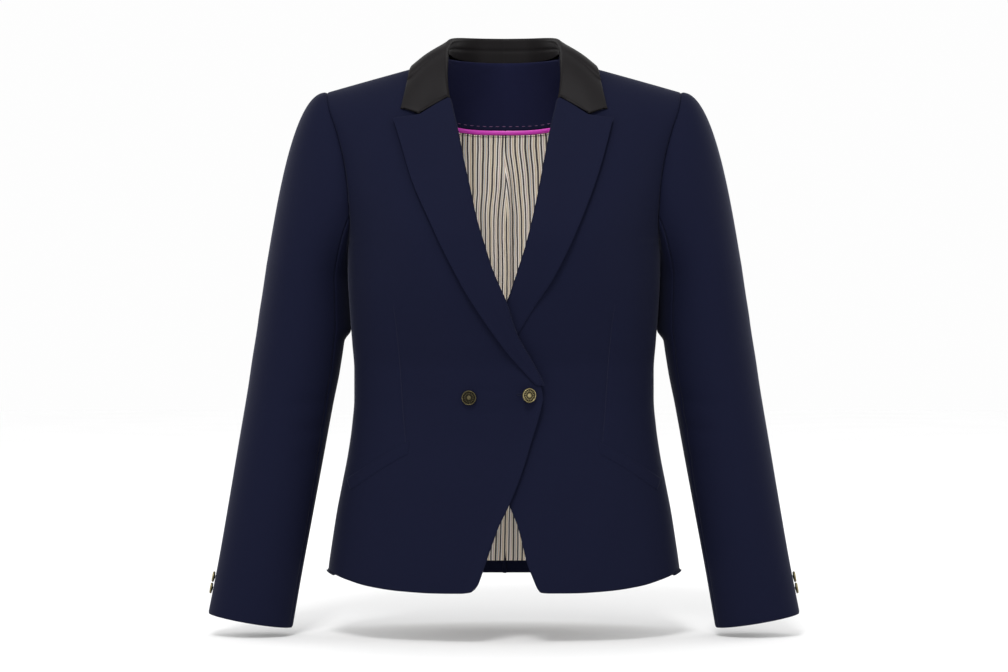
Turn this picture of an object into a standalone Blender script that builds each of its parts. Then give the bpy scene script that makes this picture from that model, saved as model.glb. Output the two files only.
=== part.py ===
"""Cropped double-breasted blazer, open and full as if worn, in the pieces that a tailor cuts.

The body is one form worked out from a table of levels. Every cloth piece is a grid on that form
between its own seam lines, given its thickness by a Solidify. Tables and sizes are millimetres;
+Z is up, the front faces -Y, and the origin lies between the two points where the shoulder seams
meet the neck. "Own" x is measured away from the middle on the piece's own side.
"""

import math
from typing import NamedTuple

import bpy
import numpy as np

MM = 0.001

# Driving sizes
CLOTH = 1.6  # wool suiting with its fusing
LINING = 1.0
COLLAR_CLOTH = 1.6
SEAM_GAP = 0.2  # each side of a seam, so 0.4 between two pieces
LAYER_GAP = 0.5  # between a piece and what lies on it
ROLL_RADIUS = 3.2  # visible radius where collar and lapels turn over
SHOULDER_POINT_X = 202.0
SHOULDER_POINT_Z = -39.5
SHOULDER_SLOPE = 0.285
SHOULDER_SEAM_Y = 8.0
NECK_HALF_WIDTH = 65.0
NECK_RISE = 45.0
NECK_SPREAD = 40.0
BUST_Z = -215.0  # underarm and bust level
BLADE_Z = -150.0  # fullest level of the upper back
RING_POWER = 2.4
APEX_X, APEX_Z, APEX_LIFT = 88.0, -216.0, 7.5
SOFT_START = 0.12  # how softly the chest starts to slope back above the bust
GORGE_Z = -50.0
BREAK_Z = -372.0
FRONT_CORNER_Z = -590.7
SIDE_HEM_Z = -582.0
BACK_HEM_Z = -598.0
LINING_HEM_Z = -583.0
FACING_END_X = 128.0  # where the back neck facing meets the shoulder seam
PIPING_HEIGHT = 5.4
PIPING_THICKNESS = 2.2
SLEEVE_TILT = math.radians(9.8)
BUTTON_RADIUS = 8.2
BUTTON_HEIGHT = 2.9
SLEEVE_BUTTON_RADIUS = 6.2
SLEEVE_BUTTON_HEIGHT = 2.3
FRONT, BACK = -1, 1


class Level(NamedTuple):
    """The garment's outside at one height."""

    z: float
    half_width: float
    front: float
    back: float


class Mark(NamedTuple):
    """A point of a seam or an edge, by height."""

    z: float
    x: float


class Ring(NamedTuple):
    """A cross-section of the sleeve, square to its length."""

    z: float
    x: float
    y: float
    half_width: float
    half_depth: float


class CollarStation(NamedTuple):
    """One section of the collar: where its stand starts, its fold and its outer edge."""

    along: float
    base_x: float
    base_y: float
    base_z: float
    fold_x: float
    fold_y: float
    fold_z: float
    edge_x: float
    edge_z: float
    edge_side: float


LEVELS = (
    Level(-640, 205.0, 125, 126),
    Level(-580, 199.5, 121, 122),
    Level(-548, 195.0, 118, 118),
    Level(-516, 190.0, 115, 112),
    Level(-484, 183.8, 112, 105),
    Level(-452, 177.6, 108, 98),
    Level(-420, 173.0, 104, 92),
    Level(-388, 170.4, 101, 88),
    Level(-356, 170.4, 102, 88),
    Level(-324, 173.0, 109, 94),
    Level(-290, 176.0, 116, 102),
    Level(-255, 178.0, 121, 108),
    Level(-215, 179.0, 123, 112),
    Level(-186, 182.5, 123, 113),
    Level(-160, 187.5, 123, 113),
    Level(-125, 194.5, 123, 112),
    Level(-90, 206.0, 122, 112),
    Level(-65, 221.0, 122, 112),
    Level(-50, 232.0, 122, 112),
    Level(-38, 240.0, 122, 112),
    Level(70, 262.0, 122, 112),
)

# Edge of the right front, which laps over: hem corner, cutaway, break, roll line, neck.
OVER_EDGE = (
    Mark(-600.0, 35.5),
    Mark(-590.7, 31.5),
    Mark(-559.0, 20.8),
    Mark(-530.0, 7.8),
    Mark(-503.0, -5.5),
    Mark(-461.5, -21.5),
    Mark(-435.0, -29.7),
    Mark(-400.0, -40.0),
    Mark(-385.0, -42.8),
    Mark(-374.0, -41.0),
    Mark(-345.0, -28.0),
    Mark(-316.0, -12.6),
    Mark(-280.0, -1.6),
    Mark(-247.0, 9.6),
    Mark(-217.0, 20.0),
    Mark(-186.0, 28.6),
    Mark(-155.0, 36.4),
    Mark(-123.0, 45.2),
    Mark(-84.0, 55.4),
    Mark(-50.0, 63.6),
    Mark(-25.0, 66.2),
    Mark(8.0, 65.5),
)

# Edge of the left front, most of it hidden behind the right one.
UNDER_EDGE = (
    Mark(-600.0, 44.0),
    Mark(-590.7, 39.9),
    Mark(-559.0, 26.3),
    Mark(-530.0, 16.6),
    Mark(-503.0, 5.5),
    Mark(-461.5, -14.0),
    Mark(-435.0, -27.5),
    Mark(-400.0, -45.5),
    Mark(-385.0, -50.0),
    Mark(-374.0, -49.0),
    Mark(-345.0, -33.0),
    Mark(-316.0, -17.0),
    Mark(-280.0, 2.6),
    Mark(-247.0, 11.6),
    Mark(-217.0, 21.6),
    Mark(-186.0, 29.6),
    Mark(-155.0, 36.8),
    Mark(-123.0, 45.2),
    Mark(-84.0, 55.4),
    Mark(-50.0, 63.6),
    Mark(-25.0, 66.2),
    Mark(8.0, 65.5),
)

FRONT_HEM = (  # as (z, x) at the front's hem, read by x
    Mark(-590.7, 30.0),
    Mark(-596.2, 39.0),
    Mark(-597.8, 50.0),
    Mark(-597.8, 77.0),
    Mark(-594.5, 115.0),
    Mark(-590.0, 151.0),
    Mark(-582.0, 200.0),
)

# Heights of the front's rows at its edge, closer together round the break.
FRONT_ROWS = (
    -590.7, -574.0, -549.0, -523.0, -498.0, -474.0, -451.0, -428.0, -408.0,
    -393.0, -380.0, -366.0, -350.0, -326.0, -300.0, -272.0, -243.0, -215.0,
)

FRONT_ARMHOLE = (
    Mark(-215, 179.0),
    Mark(-205, 176.0),
    Mark(-186, 174.0),
    Mark(-160, 175.0),
    Mark(-125, 179.5),
    Mark(-90, 188.0),
    Mark(-60, 198.0),
    Mark(-39.5, 202.0),
)

BACK_ARMHOLE = (
    Mark(-215, 179.0),
    Mark(-205, 177.0),
    Mark(-186, 177.0),
    Mark(-160, 180.0),
    Mark(-125, 185.0),
    Mark(-90, 191.5),
    Mark(-60, 199.0),
    Mark(-39.5, 202.0),
)

# How far the right front stands out over the left one, by height.
OVERLAP_LIFT = (
    Mark(-640, 2.8),
    Mark(-440, 2.9),
    Mark(-380, 7.6),
    Mark(-285, 7.6),
    Mark(-262, 6.4),
    Mark(-215, 1.8),
    Mark(-185, 0.0),
    Mark(20, 0.0),
)

LAPEL_NOTCH = Mark(-71.6, 95.6)
OVER_LAPEL_EDGE = (
    Mark(-77.2, 124.8),
    Mark(-107.7, 114.8),
    Mark(-147.4, 102.0),
    Mark(-199.6, 78.5),
    Mark(-249.8, 53.5),
    Mark(-278.1, 37.1),
    Mark(-328.4, 2.2),
    Mark(-360.0, -23.4),
    Mark(-371.5, -34.0),
)
UNDER_LAPEL_EDGE = (
    Mark(-77.2, 122.6),
    Mark(-111.0, 113.5),
    Mark(-149.8, 101.0),
    Mark(-203.0, 79.5),
    Mark(-254.0, 54.5),
    Mark(-287.0, 33.0),
    Mark(-318.0, 13.5),
    Mark(-352.0, -16.0),
    Mark(-371.5, -41.5),
)

SLEEVE_RINGS = (
    Ring(-245.0, 225.6, 3.0, 45.9, 57.0),
    Ring(-276.0, 228.0, 5.0, 48.2, 57.0),
    Ring(-308.0, 231.0, 6.0, 50.2, 56.0),
    Ring(-348.0, 237.0, 6.0, 50.4, 54.0),
    Ring(-388.0, 243.9, 5.0, 49.4, 51.5),
    Ring(-452.0, 254.8, 0.0, 48.9, 47.5),
    Ring(-516.0, 265.6, -7.0, 48.3, 43.5),
    Ring(-580.0, 276.5, -15.0, 47.8, 39.5),
    Ring(-638.5, 286.7, -23.0, 48.3, 36.5),
)

# edge_side: +1 the outer edge lies on the back, 0 on the shoulder seam, -1 on the chest.
COLLAR_STATIONS = (
    CollarStation(0.00, 0.0, 70.6, 0.8, 0.0, 71.5, 26.2, 0.0, -29.0, 1),
    CollarStation(0.14, 25.0, 66.2, 0.8, 26.0, 66.5, 26.0, 38.0, -28.0, 1),
    CollarStation(0.28, 45.5, 50.0, 1.4, 47.5, 51.5, 25.0, 72.0, -24.0, 1),
    CollarStation(0.40, 57.5, 29.5, 3.0, 60.0, 30.5, 22.0, 95.0, -17.0, 1),
    CollarStation(0.52, 62.0, 8.0, 4.5, 65.0, 9.0, 14.5, 106.0, -9.6, 0),
    CollarStation(0.66, 65.0, -9.0, -8.5, 67.0, -9.0, 1.5, 110.0, -31.0, -1),
    CollarStation(0.78, 67.5, -22.0, -24.0, 67.2, -25.0, -14.5, 112.5, -45.0, -1),
    CollarStation(0.90, 70.0, -35.0, -39.0, 66.0, -37.6, -31.5, 114.5, -57.0, -1),
    CollarStation(1.00, 71.5, -45.0, -47.5, 64.0, -47.6, -46.5, 115.6, -62.9, -1),
)


class Track:
    """A smooth line through a short table, with no overshoot between its rows."""

    def __init__(self, keys, values):
        order = np.argsort(keys)
        self.keys = np.asarray(keys, float)[order]
        self.values = np.asarray(values, float)[order]
        step = np.diff(self.keys)
        slope = np.diff(self.values) / step
        before, after = slope[:-1], slope[1:]
        rising = before * after > 0
        inner = np.zeros(len(slope) - 1)
        inner[rising] = 2 * (before * after)[rising] / (before + after)[rising]
        self.slopes = np.concatenate([slope[:1], inner, slope[-1:]])

    def __call__(self, at):
        at = np.clip(np.asarray(at, float), self.keys[0], self.keys[-1])
        row = np.clip(np.searchsorted(self.keys, at, side="right") - 1, 0, len(self.keys) - 2)
        step = self.keys[row + 1] - self.keys[row]
        t = (at - self.keys[row]) / step
        return (
            (1 + 2 * t) * (1 - t) ** 2 * self.values[row]
            + t * (1 - t) ** 2 * step * self.slopes[row]
            + t * t * (3 - 2 * t) * self.values[row + 1]
            + t * t * (t - 1) * step * self.slopes[row + 1]
        )


def x_by_height(marks):
    return Track([m.z for m in marks], [m.x for m in marks])


half_width = Track([row.z for row in LEVELS], [row.half_width for row in LEVELS])
depth_of = {
    FRONT: Track([row.z for row in LEVELS], [row.front for row in LEVELS]),
    BACK: Track([row.z for row in LEVELS], [row.back for row in LEVELS]),
}
over_edge = x_by_height(OVER_EDGE)
under_edge = x_by_height(UNDER_EDGE)
overlap_lift = x_by_height(OVERLAP_LIFT)
armhole_of = {FRONT: x_by_height(FRONT_ARMHOLE), BACK: x_by_height(BACK_ARMHOLE)}
front_hem = Track([m.x for m in FRONT_HEM], [m.z for m in FRONT_HEM])
FULLEST_Z = {FRONT: BUST_Z, BACK: BLADE_Z}


def smooth(value):
    value = np.clip(value, 0, 1)
    return value * value * (3 - 2 * value)


def shoulder_z(x):
    """Height of the shoulder line, carried on up the neck inside the neckline."""
    x = np.abs(x)
    return (
        SHOULDER_POINT_Z
        + (SHOULDER_POINT_X - x) * SHOULDER_SLOPE
        + NECK_RISE * np.exp(-((x / NECK_SPREAD) ** 2))
    )


def roundings(face, x):
    """The two powers that round the form over into the shoulder seam."""
    outward = smooth((np.abs(x) - 60) / 130)
    if face == FRONT:
        return 1.15 + 0.95 * outward, 1.3 + 0.6 * outward
    return 1.9 + 0.2 * outward, 1.6 + 0.3 * outward


def softness(face, x):
    if face == BACK:
        return np.zeros_like(np.asarray(x, float)) + 1e-6
    return SOFT_START * (1 - smooth((np.abs(x) - 60) / 130)) + 1e-6


def eased(face, x, h):
    """Height share h with a soft start, still 1 at the shoulder seam."""
    soft = softness(face, x)
    return (1 + soft) * h * h / (h + soft)


def uneased(face, x, value):
    soft = softness(face, x)
    root = np.sqrt(value * value + 4 * (1 + soft) * value * soft)
    return (value + root) / (2 * (1 + soft))


def ring_share(x, z):
    """How much of the depth is left at x across a level, from 1 in the middle to 0 at the side."""
    across = np.clip(np.abs(x) / half_width(z), 0, 1)
    return (1 - across**RING_POWER) ** (1 / RING_POWER)


def apex(face, x, z):
    if face == BACK:
        return 0.0
    wide = ((np.abs(x) - APEX_X) / 46) ** 2
    return APEX_LIFT * np.exp(-wide - ((z - APEX_Z) / 70) ** 2)


def surface_y(face, x, z):
    """The form's y at x, z."""
    p, q = roundings(face, x)
    base = FULLEST_Z[face]
    h = np.clip((z - base) / (shoulder_z(x) - base), 0, 1)
    share = (1 - eased(face, x, h) ** p) ** (1 / q)
    depth = depth_of[face](z) * ring_share(x, z) + apex(face, x, z)
    return SHOULDER_SEAM_Y * (1 - share) + face * depth * share


def outward(face, x, z):
    """The form's unit normal at x, z."""
    step = 0.5
    slope_x = (surface_y(face, x + step, z) - surface_y(face, x - step, z)) / (2 * step)
    slope_z = (surface_y(face, x, z + step) - surface_y(face, x, z - step)) / (2 * step)
    normal = np.stack([-slope_x, np.ones_like(slope_x), -slope_z], axis=-1) * face
    return normal / np.linalg.norm(normal, axis=-1, keepdims=True)


def lap(x, z):
    """How far the right front is held out by the left one under it, at its own x."""
    return overlap_lift(z) * smooth((104 - x) / 46)


def on_front(x, z, lift, over):
    """Points moved out of the front's form by lift."""
    x, z = np.broadcast_arrays(np.asarray(x, float), np.asarray(z, float))
    points = np.stack([x, surface_y(FRONT, x, z), z], axis=-1)
    if over:
        points[..., 1] -= lap(x, z)
    return points + outward(FRONT, x, z) * np.asarray(lift, float)[..., None]


def turn_of(x, z):
    """Angle round the level's ring, 0 at the side and a right angle in the middle."""
    across = np.clip(x / half_width(z), -1, 1)
    return np.arccos(np.sign(across) * np.abs(across) ** (RING_POWER / 2))


def form_points(face, turn, rise):
    """Form points by turn round the ring and rise: mm under the fullest level, then 0 to 1 above."""
    turn, rise = np.broadcast_arrays(np.asarray(turn, float), np.asarray(rise, float))
    lean = np.cos(turn)
    across = np.sign(lean) * np.abs(lean) ** (2 / RING_POWER)
    base = FULLEST_Z[face]
    angle = np.clip(rise, 0, 1) * math.pi / 2
    z = base + np.minimum(rise, 0) + 100.0 * np.clip(rise, 0, 1)
    for _ in range(12):
        x = half_width(z) * across
        p, _q = roundings(face, x)
        h = uneased(face, x, np.sin(angle) ** (2 / p))
        z = base + np.minimum(rise, 0) + h * (shoulder_z(x) - base)
    x = half_width(z) * across
    _p, q = roundings(face, x)
    share = np.cos(angle) ** (2 / q)
    ring = np.abs(np.sin(turn)) ** (2 / RING_POWER)
    depth = depth_of[face](z) * ring + apex(face, x, z)
    y = SHOULDER_SEAM_Y * (1 - share) + face * depth * share
    return np.stack([x, y, z], axis=-1)


def meet(face, track, rise):
    """Turn at which a seam line, given as x by height, crosses a rise."""
    x = track(FULLEST_Z[face])
    z = FULLEST_Z[face]
    for _ in range(25):
        p, _q = roundings(face, x)
        h = float(uneased(face, x, math.sin(max(rise, 0) * math.pi / 2) ** (2 / p)))
        z = FULLEST_Z[face] + min(rise, 0) + h * (shoulder_z(x) - FULLEST_Z[face])
        x = 0.5 * x + 0.5 * track(z)
    return float(turn_of(x, z))


def rise_at(face, x, z):
    """Rise of a point of the form."""
    p, _q = roundings(face, x)
    base = FULLEST_Z[face]
    h = np.clip((z - base) / (shoulder_z(x) - base), 0, 1)
    angle = np.arcsin(np.minimum(eased(face, x, h), 1) ** (p / 2))
    return np.where(z < base, z - base, angle / (math.pi / 2))


def normals_of(grid):
    """Unit normals of a grid of points, by its rows and columns."""
    along = np.gradient(grid, axis=1)
    up = np.gradient(grid, axis=0)
    normal = np.cross(along, up)
    return normal / np.maximum(np.linalg.norm(normal, axis=-1, keepdims=True), 1e-9)


def lerp(a, b, t):
    return a + (b - a) * t


def upper_rises(count):
    """Rises of the rows above the fullest level, closing up under the shoulder seam."""
    return [k / count for k in range(1, count)] + [0.965, 1.0]


def front_grid(edge, over, upper=8, columns=13):
    """A front in its own x: rows from hem to shoulder seam, columns from edge to side seam."""
    share = np.linspace(0, 1, columns + 1) ** 1.05
    rows = []
    for k, left_z in enumerate(FRONT_ROWS):
        up = (left_z - FRONT_CORNER_Z) / (BUST_Z - FRONT_CORNER_Z)
        right_z = lerp(SIDE_HEM_Z, BUST_Z, up)
        turn = lerp(float(turn_of(edge(left_z), left_z)), 0.0, share)
        rise = lerp(left_z, right_z, share) - BUST_Z
        if k < 3:
            x = form_points(FRONT, turn, rise)[:, 0]
            rise = rise + (front_hem(x) - BUST_Z - rise) * (1 - k / 3) ** 1.5
        rows.append((turn, rise))
    for rise in upper_rises(upper):
        left = meet(FRONT, edge, rise)
        right = meet(FRONT, armhole_of[FRONT], rise)
        rows.append((lerp(left, right, share), np.full(columns + 1, rise)))
    grid = np.stack([form_points(FRONT, turn, rise) for turn, rise in rows])
    if over:
        grid[..., 1] -= lap(grid[..., 0], grid[..., 2])
    grid[..., 1] -= SEAM_GAP
    grid[-1, :, 1] -= 0.55
    return grid


def neckline_z(x):
    """Height of the back neck seam."""
    return -1.0 + 2.2 * (np.abs(x) / NECK_HALF_WIDTH) ** 2


def facing_z(x):
    """Lower edge of the back neck facing, where the piping lies."""
    return -74.5 + 50.0 * (np.abs(x) / 125.0) ** 3.2


def facing_slope(x):
    """Slope of the facing's lower edge."""
    return 50.0 * 3.2 / 125.0 * np.sign(x) * (np.abs(x) / 125.0) ** 2.2


def lining_top_z(x):
    return facing_z(x) - (PIPING_HEIGHT + 1.7) * np.sqrt(1 + facing_slope(x) ** 2)


def column_points(face, x, rise):
    """Form points at given x, by rise above the fullest level."""
    p, q = roundings(face, x)
    base = FULLEST_Z[face]
    angle = np.clip(rise, 0, 1) * math.pi / 2
    z = base + uneased(face, x, np.sin(angle) ** (2 / p)) * (shoulder_z(x) - base)
    share = np.cos(angle) ** (2 / q)
    depth = depth_of[face](z) * ring_share(x, z) + apex(face, x, z)
    y = SHOULDER_SEAM_Y * (1 - share) + face * depth * share
    return np.stack([x, y, z], axis=-1)


def top_rise(x, top_z, meets_shoulder_x):
    """Rise of a piece's upper edge that runs to the shoulder seam at meets_shoulder_x."""
    inside = rise_at(BACK, x, np.minimum(top_z(x), shoulder_z(x)))
    return np.where(np.abs(x) >= meets_shoulder_x, 1.0, np.minimum(inside, 1.0))


def back_grid(top_z, meets_shoulder_x, hem_z, lower=13, upper=8, columns=13, short=0.0):
    """A half back from the middle to the side seam, up to top_z or the shoulder seam."""
    end = turn_of(SHOULDER_POINT_X, SHOULDER_POINT_Z)
    corner = turn_of(meets_shoulder_x, shoulder_z(meets_shoulder_x))
    corner_share = float((math.pi / 2 - corner) / (math.pi / 2 - end))
    inner = max(5, round(columns * corner_share))
    share = np.concatenate(
        [
            corner_share * (1 - (1 - np.linspace(0, 1, inner + 1)) ** 1.3),
            np.linspace(corner_share, 1, columns - inner + 1)[1:],
        ]
    )
    rows = []
    for k in range(lower + 1):
        t = k / lower
        middle_z = lerp(hem_z, BLADE_Z, t)
        side_z = lerp(hem_z + BACK_HEM_SHORTER, BUST_Z, min(t * 1.17, 1.0))
        if t * 1.17 > 1.0:
            side_z = lerp(BUST_Z, BLADE_Z, (t * 1.17 - 1.0) / 0.17)
        right = 0.0 if side_z <= BUST_Z else float(turn_of(armhole_of[BACK](side_z), side_z))
        curve = share ** lerp(2.0, 1.0, t)
        rows.append((lerp(math.pi / 2, right, share), lerp(middle_z, side_z, curve) - BLADE_Z))
    for rise in upper_rises(upper):
        right = meet(BACK, armhole_of[BACK], rise)
        rows.append((lerp(math.pi / 2, right, share), np.full(columns + 1, rise)))
    grid = []
    for turn, rise in rows:
        turn = turn + short * share
        limit = np.ones_like(rise)
        for _ in range(5):
            x = form_points(BACK, turn, np.where(rise > 0, limit, rise))[:, 0]
            limit = top_rise(x, top_z, meets_shoulder_x - 0.5)
        grid.append(form_points(BACK, turn, np.where(rise > 0, rise * limit, rise)))
    grid = np.stack(grid)
    grid[..., 1] += SEAM_GAP
    return grid


def facing_grid(rows=4, columns=12):
    """Half the back neck facing, from the piping up to the neckline and the shoulder seam."""
    x = np.linspace(0, FACING_END_X, columns + 1)
    low = rise_at(BACK, x, facing_z(x) + 0.4)
    high = np.minimum(top_rise(x, neckline_z, NECK_HALF_WIDTH - 0.5), 0.985)
    grid = np.stack([column_points(BACK, x, lerp(low, high, k / rows)) for k in range(rows + 1)])
    grid[..., 1] += SEAM_GAP
    grid = grid + normals_of(grid) * (CLOTH + LAYER_GAP + 1.4)
    grid[:, 0, 0] = 0.0
    return grid


def lining_grid(rows=13, columns=11):
    """The whole back lining, from the piping to its hem, with its centre pleat."""
    half = back_grid(
        lining_top_z, FACING_END_X + 3.0, LINING_HEM_Z, rows, 5, columns, short=0.03
    )
    half = half + normals_of(half) * (CLOTH + LAYER_GAP + 1.1)
    half[:, 0, 0] = 0.0
    half[-1, :, 2] -= 0.5
    whole = np.concatenate([mirrored(half)[:, :0:-1], half], axis=1)
    return pleat(whole)


BACK_HEM_SHORTER = SIDE_HEM_Z - BACK_HEM_Z


def armhole_loop(count):
    """Points of one armhole from the shoulder point down the front and up the back."""
    halves = []
    for face in (FRONT, BACK):
        points = []
        lows = [] if face == FRONT else list(np.linspace(BUST_Z, BLADE_Z, 14) - BLADE_Z)
        rises = lows + list(np.linspace(0, 1, 28))
        for rise in rises:
            turn = meet(face, armhole_of[face], rise)
            if rise == rises[0]:
                turn = 0.0
            points.append(form_points(face, turn, rise))
        halves.append(np.array(points))
    loop = np.concatenate([halves[0][::-1], halves[1][1:]])
    lengths = np.concatenate([[0], np.cumsum(np.linalg.norm(np.diff(loop, axis=0), axis=1))])
    low = int(np.argmin(loop[:, 2]))
    share = np.where(
        lengths <= lengths[low],
        0.5 * lengths / lengths[low],
        0.5 + 0.5 * (lengths - lengths[low]) / (lengths[-1] - lengths[low]),
    )
    at = np.asarray(count, float) % 1.0
    return np.stack([np.interp(at, share, loop[:, i]) for i in range(3)], axis=-1)


ring_tracks = {
    name: Track([row.z for row in SLEEVE_RINGS], [getattr(row, name) for row in SLEEVE_RINGS])
    for name in ("x", "y", "half_width", "half_depth")
}
AXIS = np.array([math.sin(SLEEVE_TILT), 0.0, -math.cos(SLEEVE_TILT)])
ACROSS = np.array([math.cos(SLEEVE_TILT), 0.0, math.sin(SLEEVE_TILT)])


def sleeve_ring(z, share):
    """Points of the sleeve's ring with its centre at height z: share 0 outside, a quarter front."""
    angle = np.asarray(share) * 2 * math.pi
    centre = np.array([ring_tracks["x"](z), ring_tracks["y"](z), z])
    wide = ring_tracks["half_width"](z) * np.cos(angle)
    deep = -ring_tracks["half_depth"](z) * np.sin(angle)
    return centre + wide[..., None] * ACROSS + deep[..., None] * np.array([0.0, 1.0, 0.0])


def sleeve_cap(share, c):
    """Points between the armhole and the first full ring, at c from 0 to 1."""
    start = armhole_loop(share)
    middle = np.array([190.0, 4.0, -128.0])
    spoke = start - middle
    spoke[..., 0] = 0
    spoke /= np.linalg.norm(spoke, axis=-1, keepdims=True)
    up = 0.5 + 0.5 * np.cos(np.asarray(share) * 2 * math.pi)
    out_x = lerp(0.12, 1.0, up**0.6)
    out_spoke = lerp(1.0, 0.10, up**0.8)
    leave = out_spoke[..., None] * spoke
    leave[..., 0] += out_x
    leave /= np.linalg.norm(leave, axis=-1, keepdims=True)
    start = start + np.array([0.8, 0.0, 0.0]) + 0.35 * spoke
    end = sleeve_ring(SLEEVE_RINGS[0].z, share)
    span = np.linalg.norm(end - start, axis=-1, keepdims=True)
    return (
        (1 + 2 * c) * (1 - c) ** 2 * start
        + c * (1 - c) ** 2 * (leave * span * 0.55)
        + c * c * (3 - 2 * c) * end
        + c * c * (c - 1) * (AXIS * span * 0.95)
    )


def sleeve_seam(which, down):
    """Where a sleeve seam lies round the sleeve, by how far down it is."""
    if which == "front":
        return lerp(0.370, 0.455, smooth(down))
    return lerp(0.700, 0.968, smooth(down * 1.05))


def seam_spacing(columns):
    """Shares across a piece, with a narrow column along each of its seams."""
    return np.concatenate([[0.0], np.linspace(0.03, 0.97, columns - 1), [1.0]])


def sleeve_grid(piece, caps=7, rings=13, columns=10):
    """Top or under sleeve, rows from armhole to cuff."""
    rows = []
    for k in range(caps + rings + 1):
        down = max(0.0, (k - caps) / rings)
        fall = 0.30 * min(k, caps) / caps + 0.70 * down
        front = float(sleeve_seam("front", fall))
        back = float(sleeve_seam("back", fall))
        gap = 1.4 * SEAM_GAP / 300.0
        if piece == "top":
            share = lerp(back - 1.0 + gap, front - gap, seam_spacing(columns))
        else:
            share = lerp(front + gap, back - gap, seam_spacing(columns))
        if k < caps:
            rows.append(sleeve_cap(share, (k / caps) ** 1.15))
        else:
            z = lerp(SLEEVE_RINGS[0].z, SLEEVE_RINGS[-1].z, down)
            rows.append(sleeve_ring(z, share))
    return np.stack(rows)


def lapel_section(leaf_columns, bulge):
    """(distance from the roll line, share across the leaf, lift) from the turned-in strip outward."""
    half = CLOTH / 2
    section = [(9.0, 0.0, -half - ROLL_RADIUS), (3.0, 0.0, -half - ROLL_RADIUS)]
    for degrees in (-90, -135, 180, 135, 90):
        a = math.radians(degrees)
        section.append((ROLL_RADIUS * math.cos(a), 0.0, -half + ROLL_RADIUS * math.sin(a)))
    for k in range(1, leaf_columns + 1):
        t = k / leaf_columns
        rise = bulge * math.sin(math.pi * min(t * 2.6, 1.0) * 0.5) * (1 - t) ** 0.8
        section.append((0.0, t, ROLL_RADIUS - half + rise + 0.7 * t))
    return section


def lapel_grid(edge, outer, over, bulge, flat_share, rows=16, leaf_columns=7):
    """A lapel turned out over its front: rows from the gorge seam down to the break."""
    lengths = [0.0]
    for a, b in zip(outer, outer[1:]):
        lengths.append(lengths[-1] + math.hypot(a.x - b.x, a.z - b.z))
    outer_x = Track(np.array(lengths) / lengths[-1], [m.x for m in outer])
    outer_z = Track(np.array(lengths) / lengths[-1], [m.z for m in outer])
    section = lapel_section(leaf_columns, bulge)
    slope = (LAPEL_NOTCH.x - edge(GORGE_Z)) / (outer[0].x - edge(GORGE_Z))
    sink = lerp(GORGE_Z, outer[0].z, slope) - LAPEL_NOTCH.z
    grid = []
    for k in range(rows + 1):
        s = k / rows
        roll_z = lerp(GORGE_Z - 2 * SEAM_GAP, BREAK_Z, s)
        roll_x = float(edge(roll_z))
        end_x, end_z = float(outer_x(s)), float(outer_z(s))
        fade = float(smooth((1 - s - flat_share) / 0.2))
        row = []
        for distance, across, lift in section:
            x = lerp(roll_x, end_x, across) + distance - 0.95
            z = lerp(roll_z, end_z, across)
            dip = min(across / slope, (1 - across) / (1 - slope))
            z -= sink * dip * (1 - min(1.0, s * 4)) ** 2
            flat = ROLL_RADIUS - CLOTH / 2
            lift = lerp(min(lift, flat + 0.2), lift, fade)
            row.append(on_front(x, z, lift, over))
        grid.append(row)
    return np.array(grid)


def collar_table(name):
    along = [row.along for row in COLLAR_STATIONS]
    return Track(along, [getattr(row, name) for row in COLLAR_STATIONS])


collar_tracks = {name: collar_table(name) for name in CollarStation._fields}


def collar_edge_point(along):
    """The collar's outer edge, lying on the back, the shoulder or the chest."""
    x = float(collar_tracks["edge_x"](along))
    z = float(collar_tracks["edge_z"](along))
    lift = CLOTH + LAYER_GAP + 0.6
    side = float(collar_tracks["edge_side"](along))
    if side >= 0.999:
        return np.array([x, float(surface_y(BACK, x, z)), z]) + outward(BACK, x, z) * lift
    if side <= -0.999:
        return np.array([x, float(surface_y(FRONT, x, z)), z]) + outward(FRONT, x, z) * lift
    crest = np.array([x, SHOULDER_SEAM_Y, float(shoulder_z(x)) + lift])
    face = BACK if side > 0 else FRONT
    far = 0.40 if side > 0 else 0.66
    fx = float(collar_tracks["edge_x"](far))
    fz = float(collar_tracks["edge_z"](far))
    end = np.array([fx, float(surface_y(face, fx, fz)), fz]) + outward(face, fx, fz) * lift
    t = abs(side)
    bow = np.array([x, 0.0, 0.0])
    along_face = lerp(crest, end, t)
    angle = t * math.pi / 2
    along_face[1] = crest[1] + (end[1] - crest[1]) * math.sin(angle)
    along_face[2] = end[2] + (crest[2] - end[2]) * math.cos(angle)
    along_face[0] = bow[0]
    return along_face


def clear_of_body(point, need):
    """A point of the collar's leaf, pushed out until it clears the body by need."""
    x, y, z = point
    top = float(shoulder_z(x))
    if z >= top + need:
        return point
    face = BACK if y > SHOULDER_SEAM_Y else FRONT
    z_on = min(z, top - 0.8)
    normal = outward(face, x, z_on)
    height = (y - float(surface_y(face, x, z_on))) * normal[1] + (z - z_on) * normal[2]
    return point + normal * max(0.0, need - height)


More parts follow.
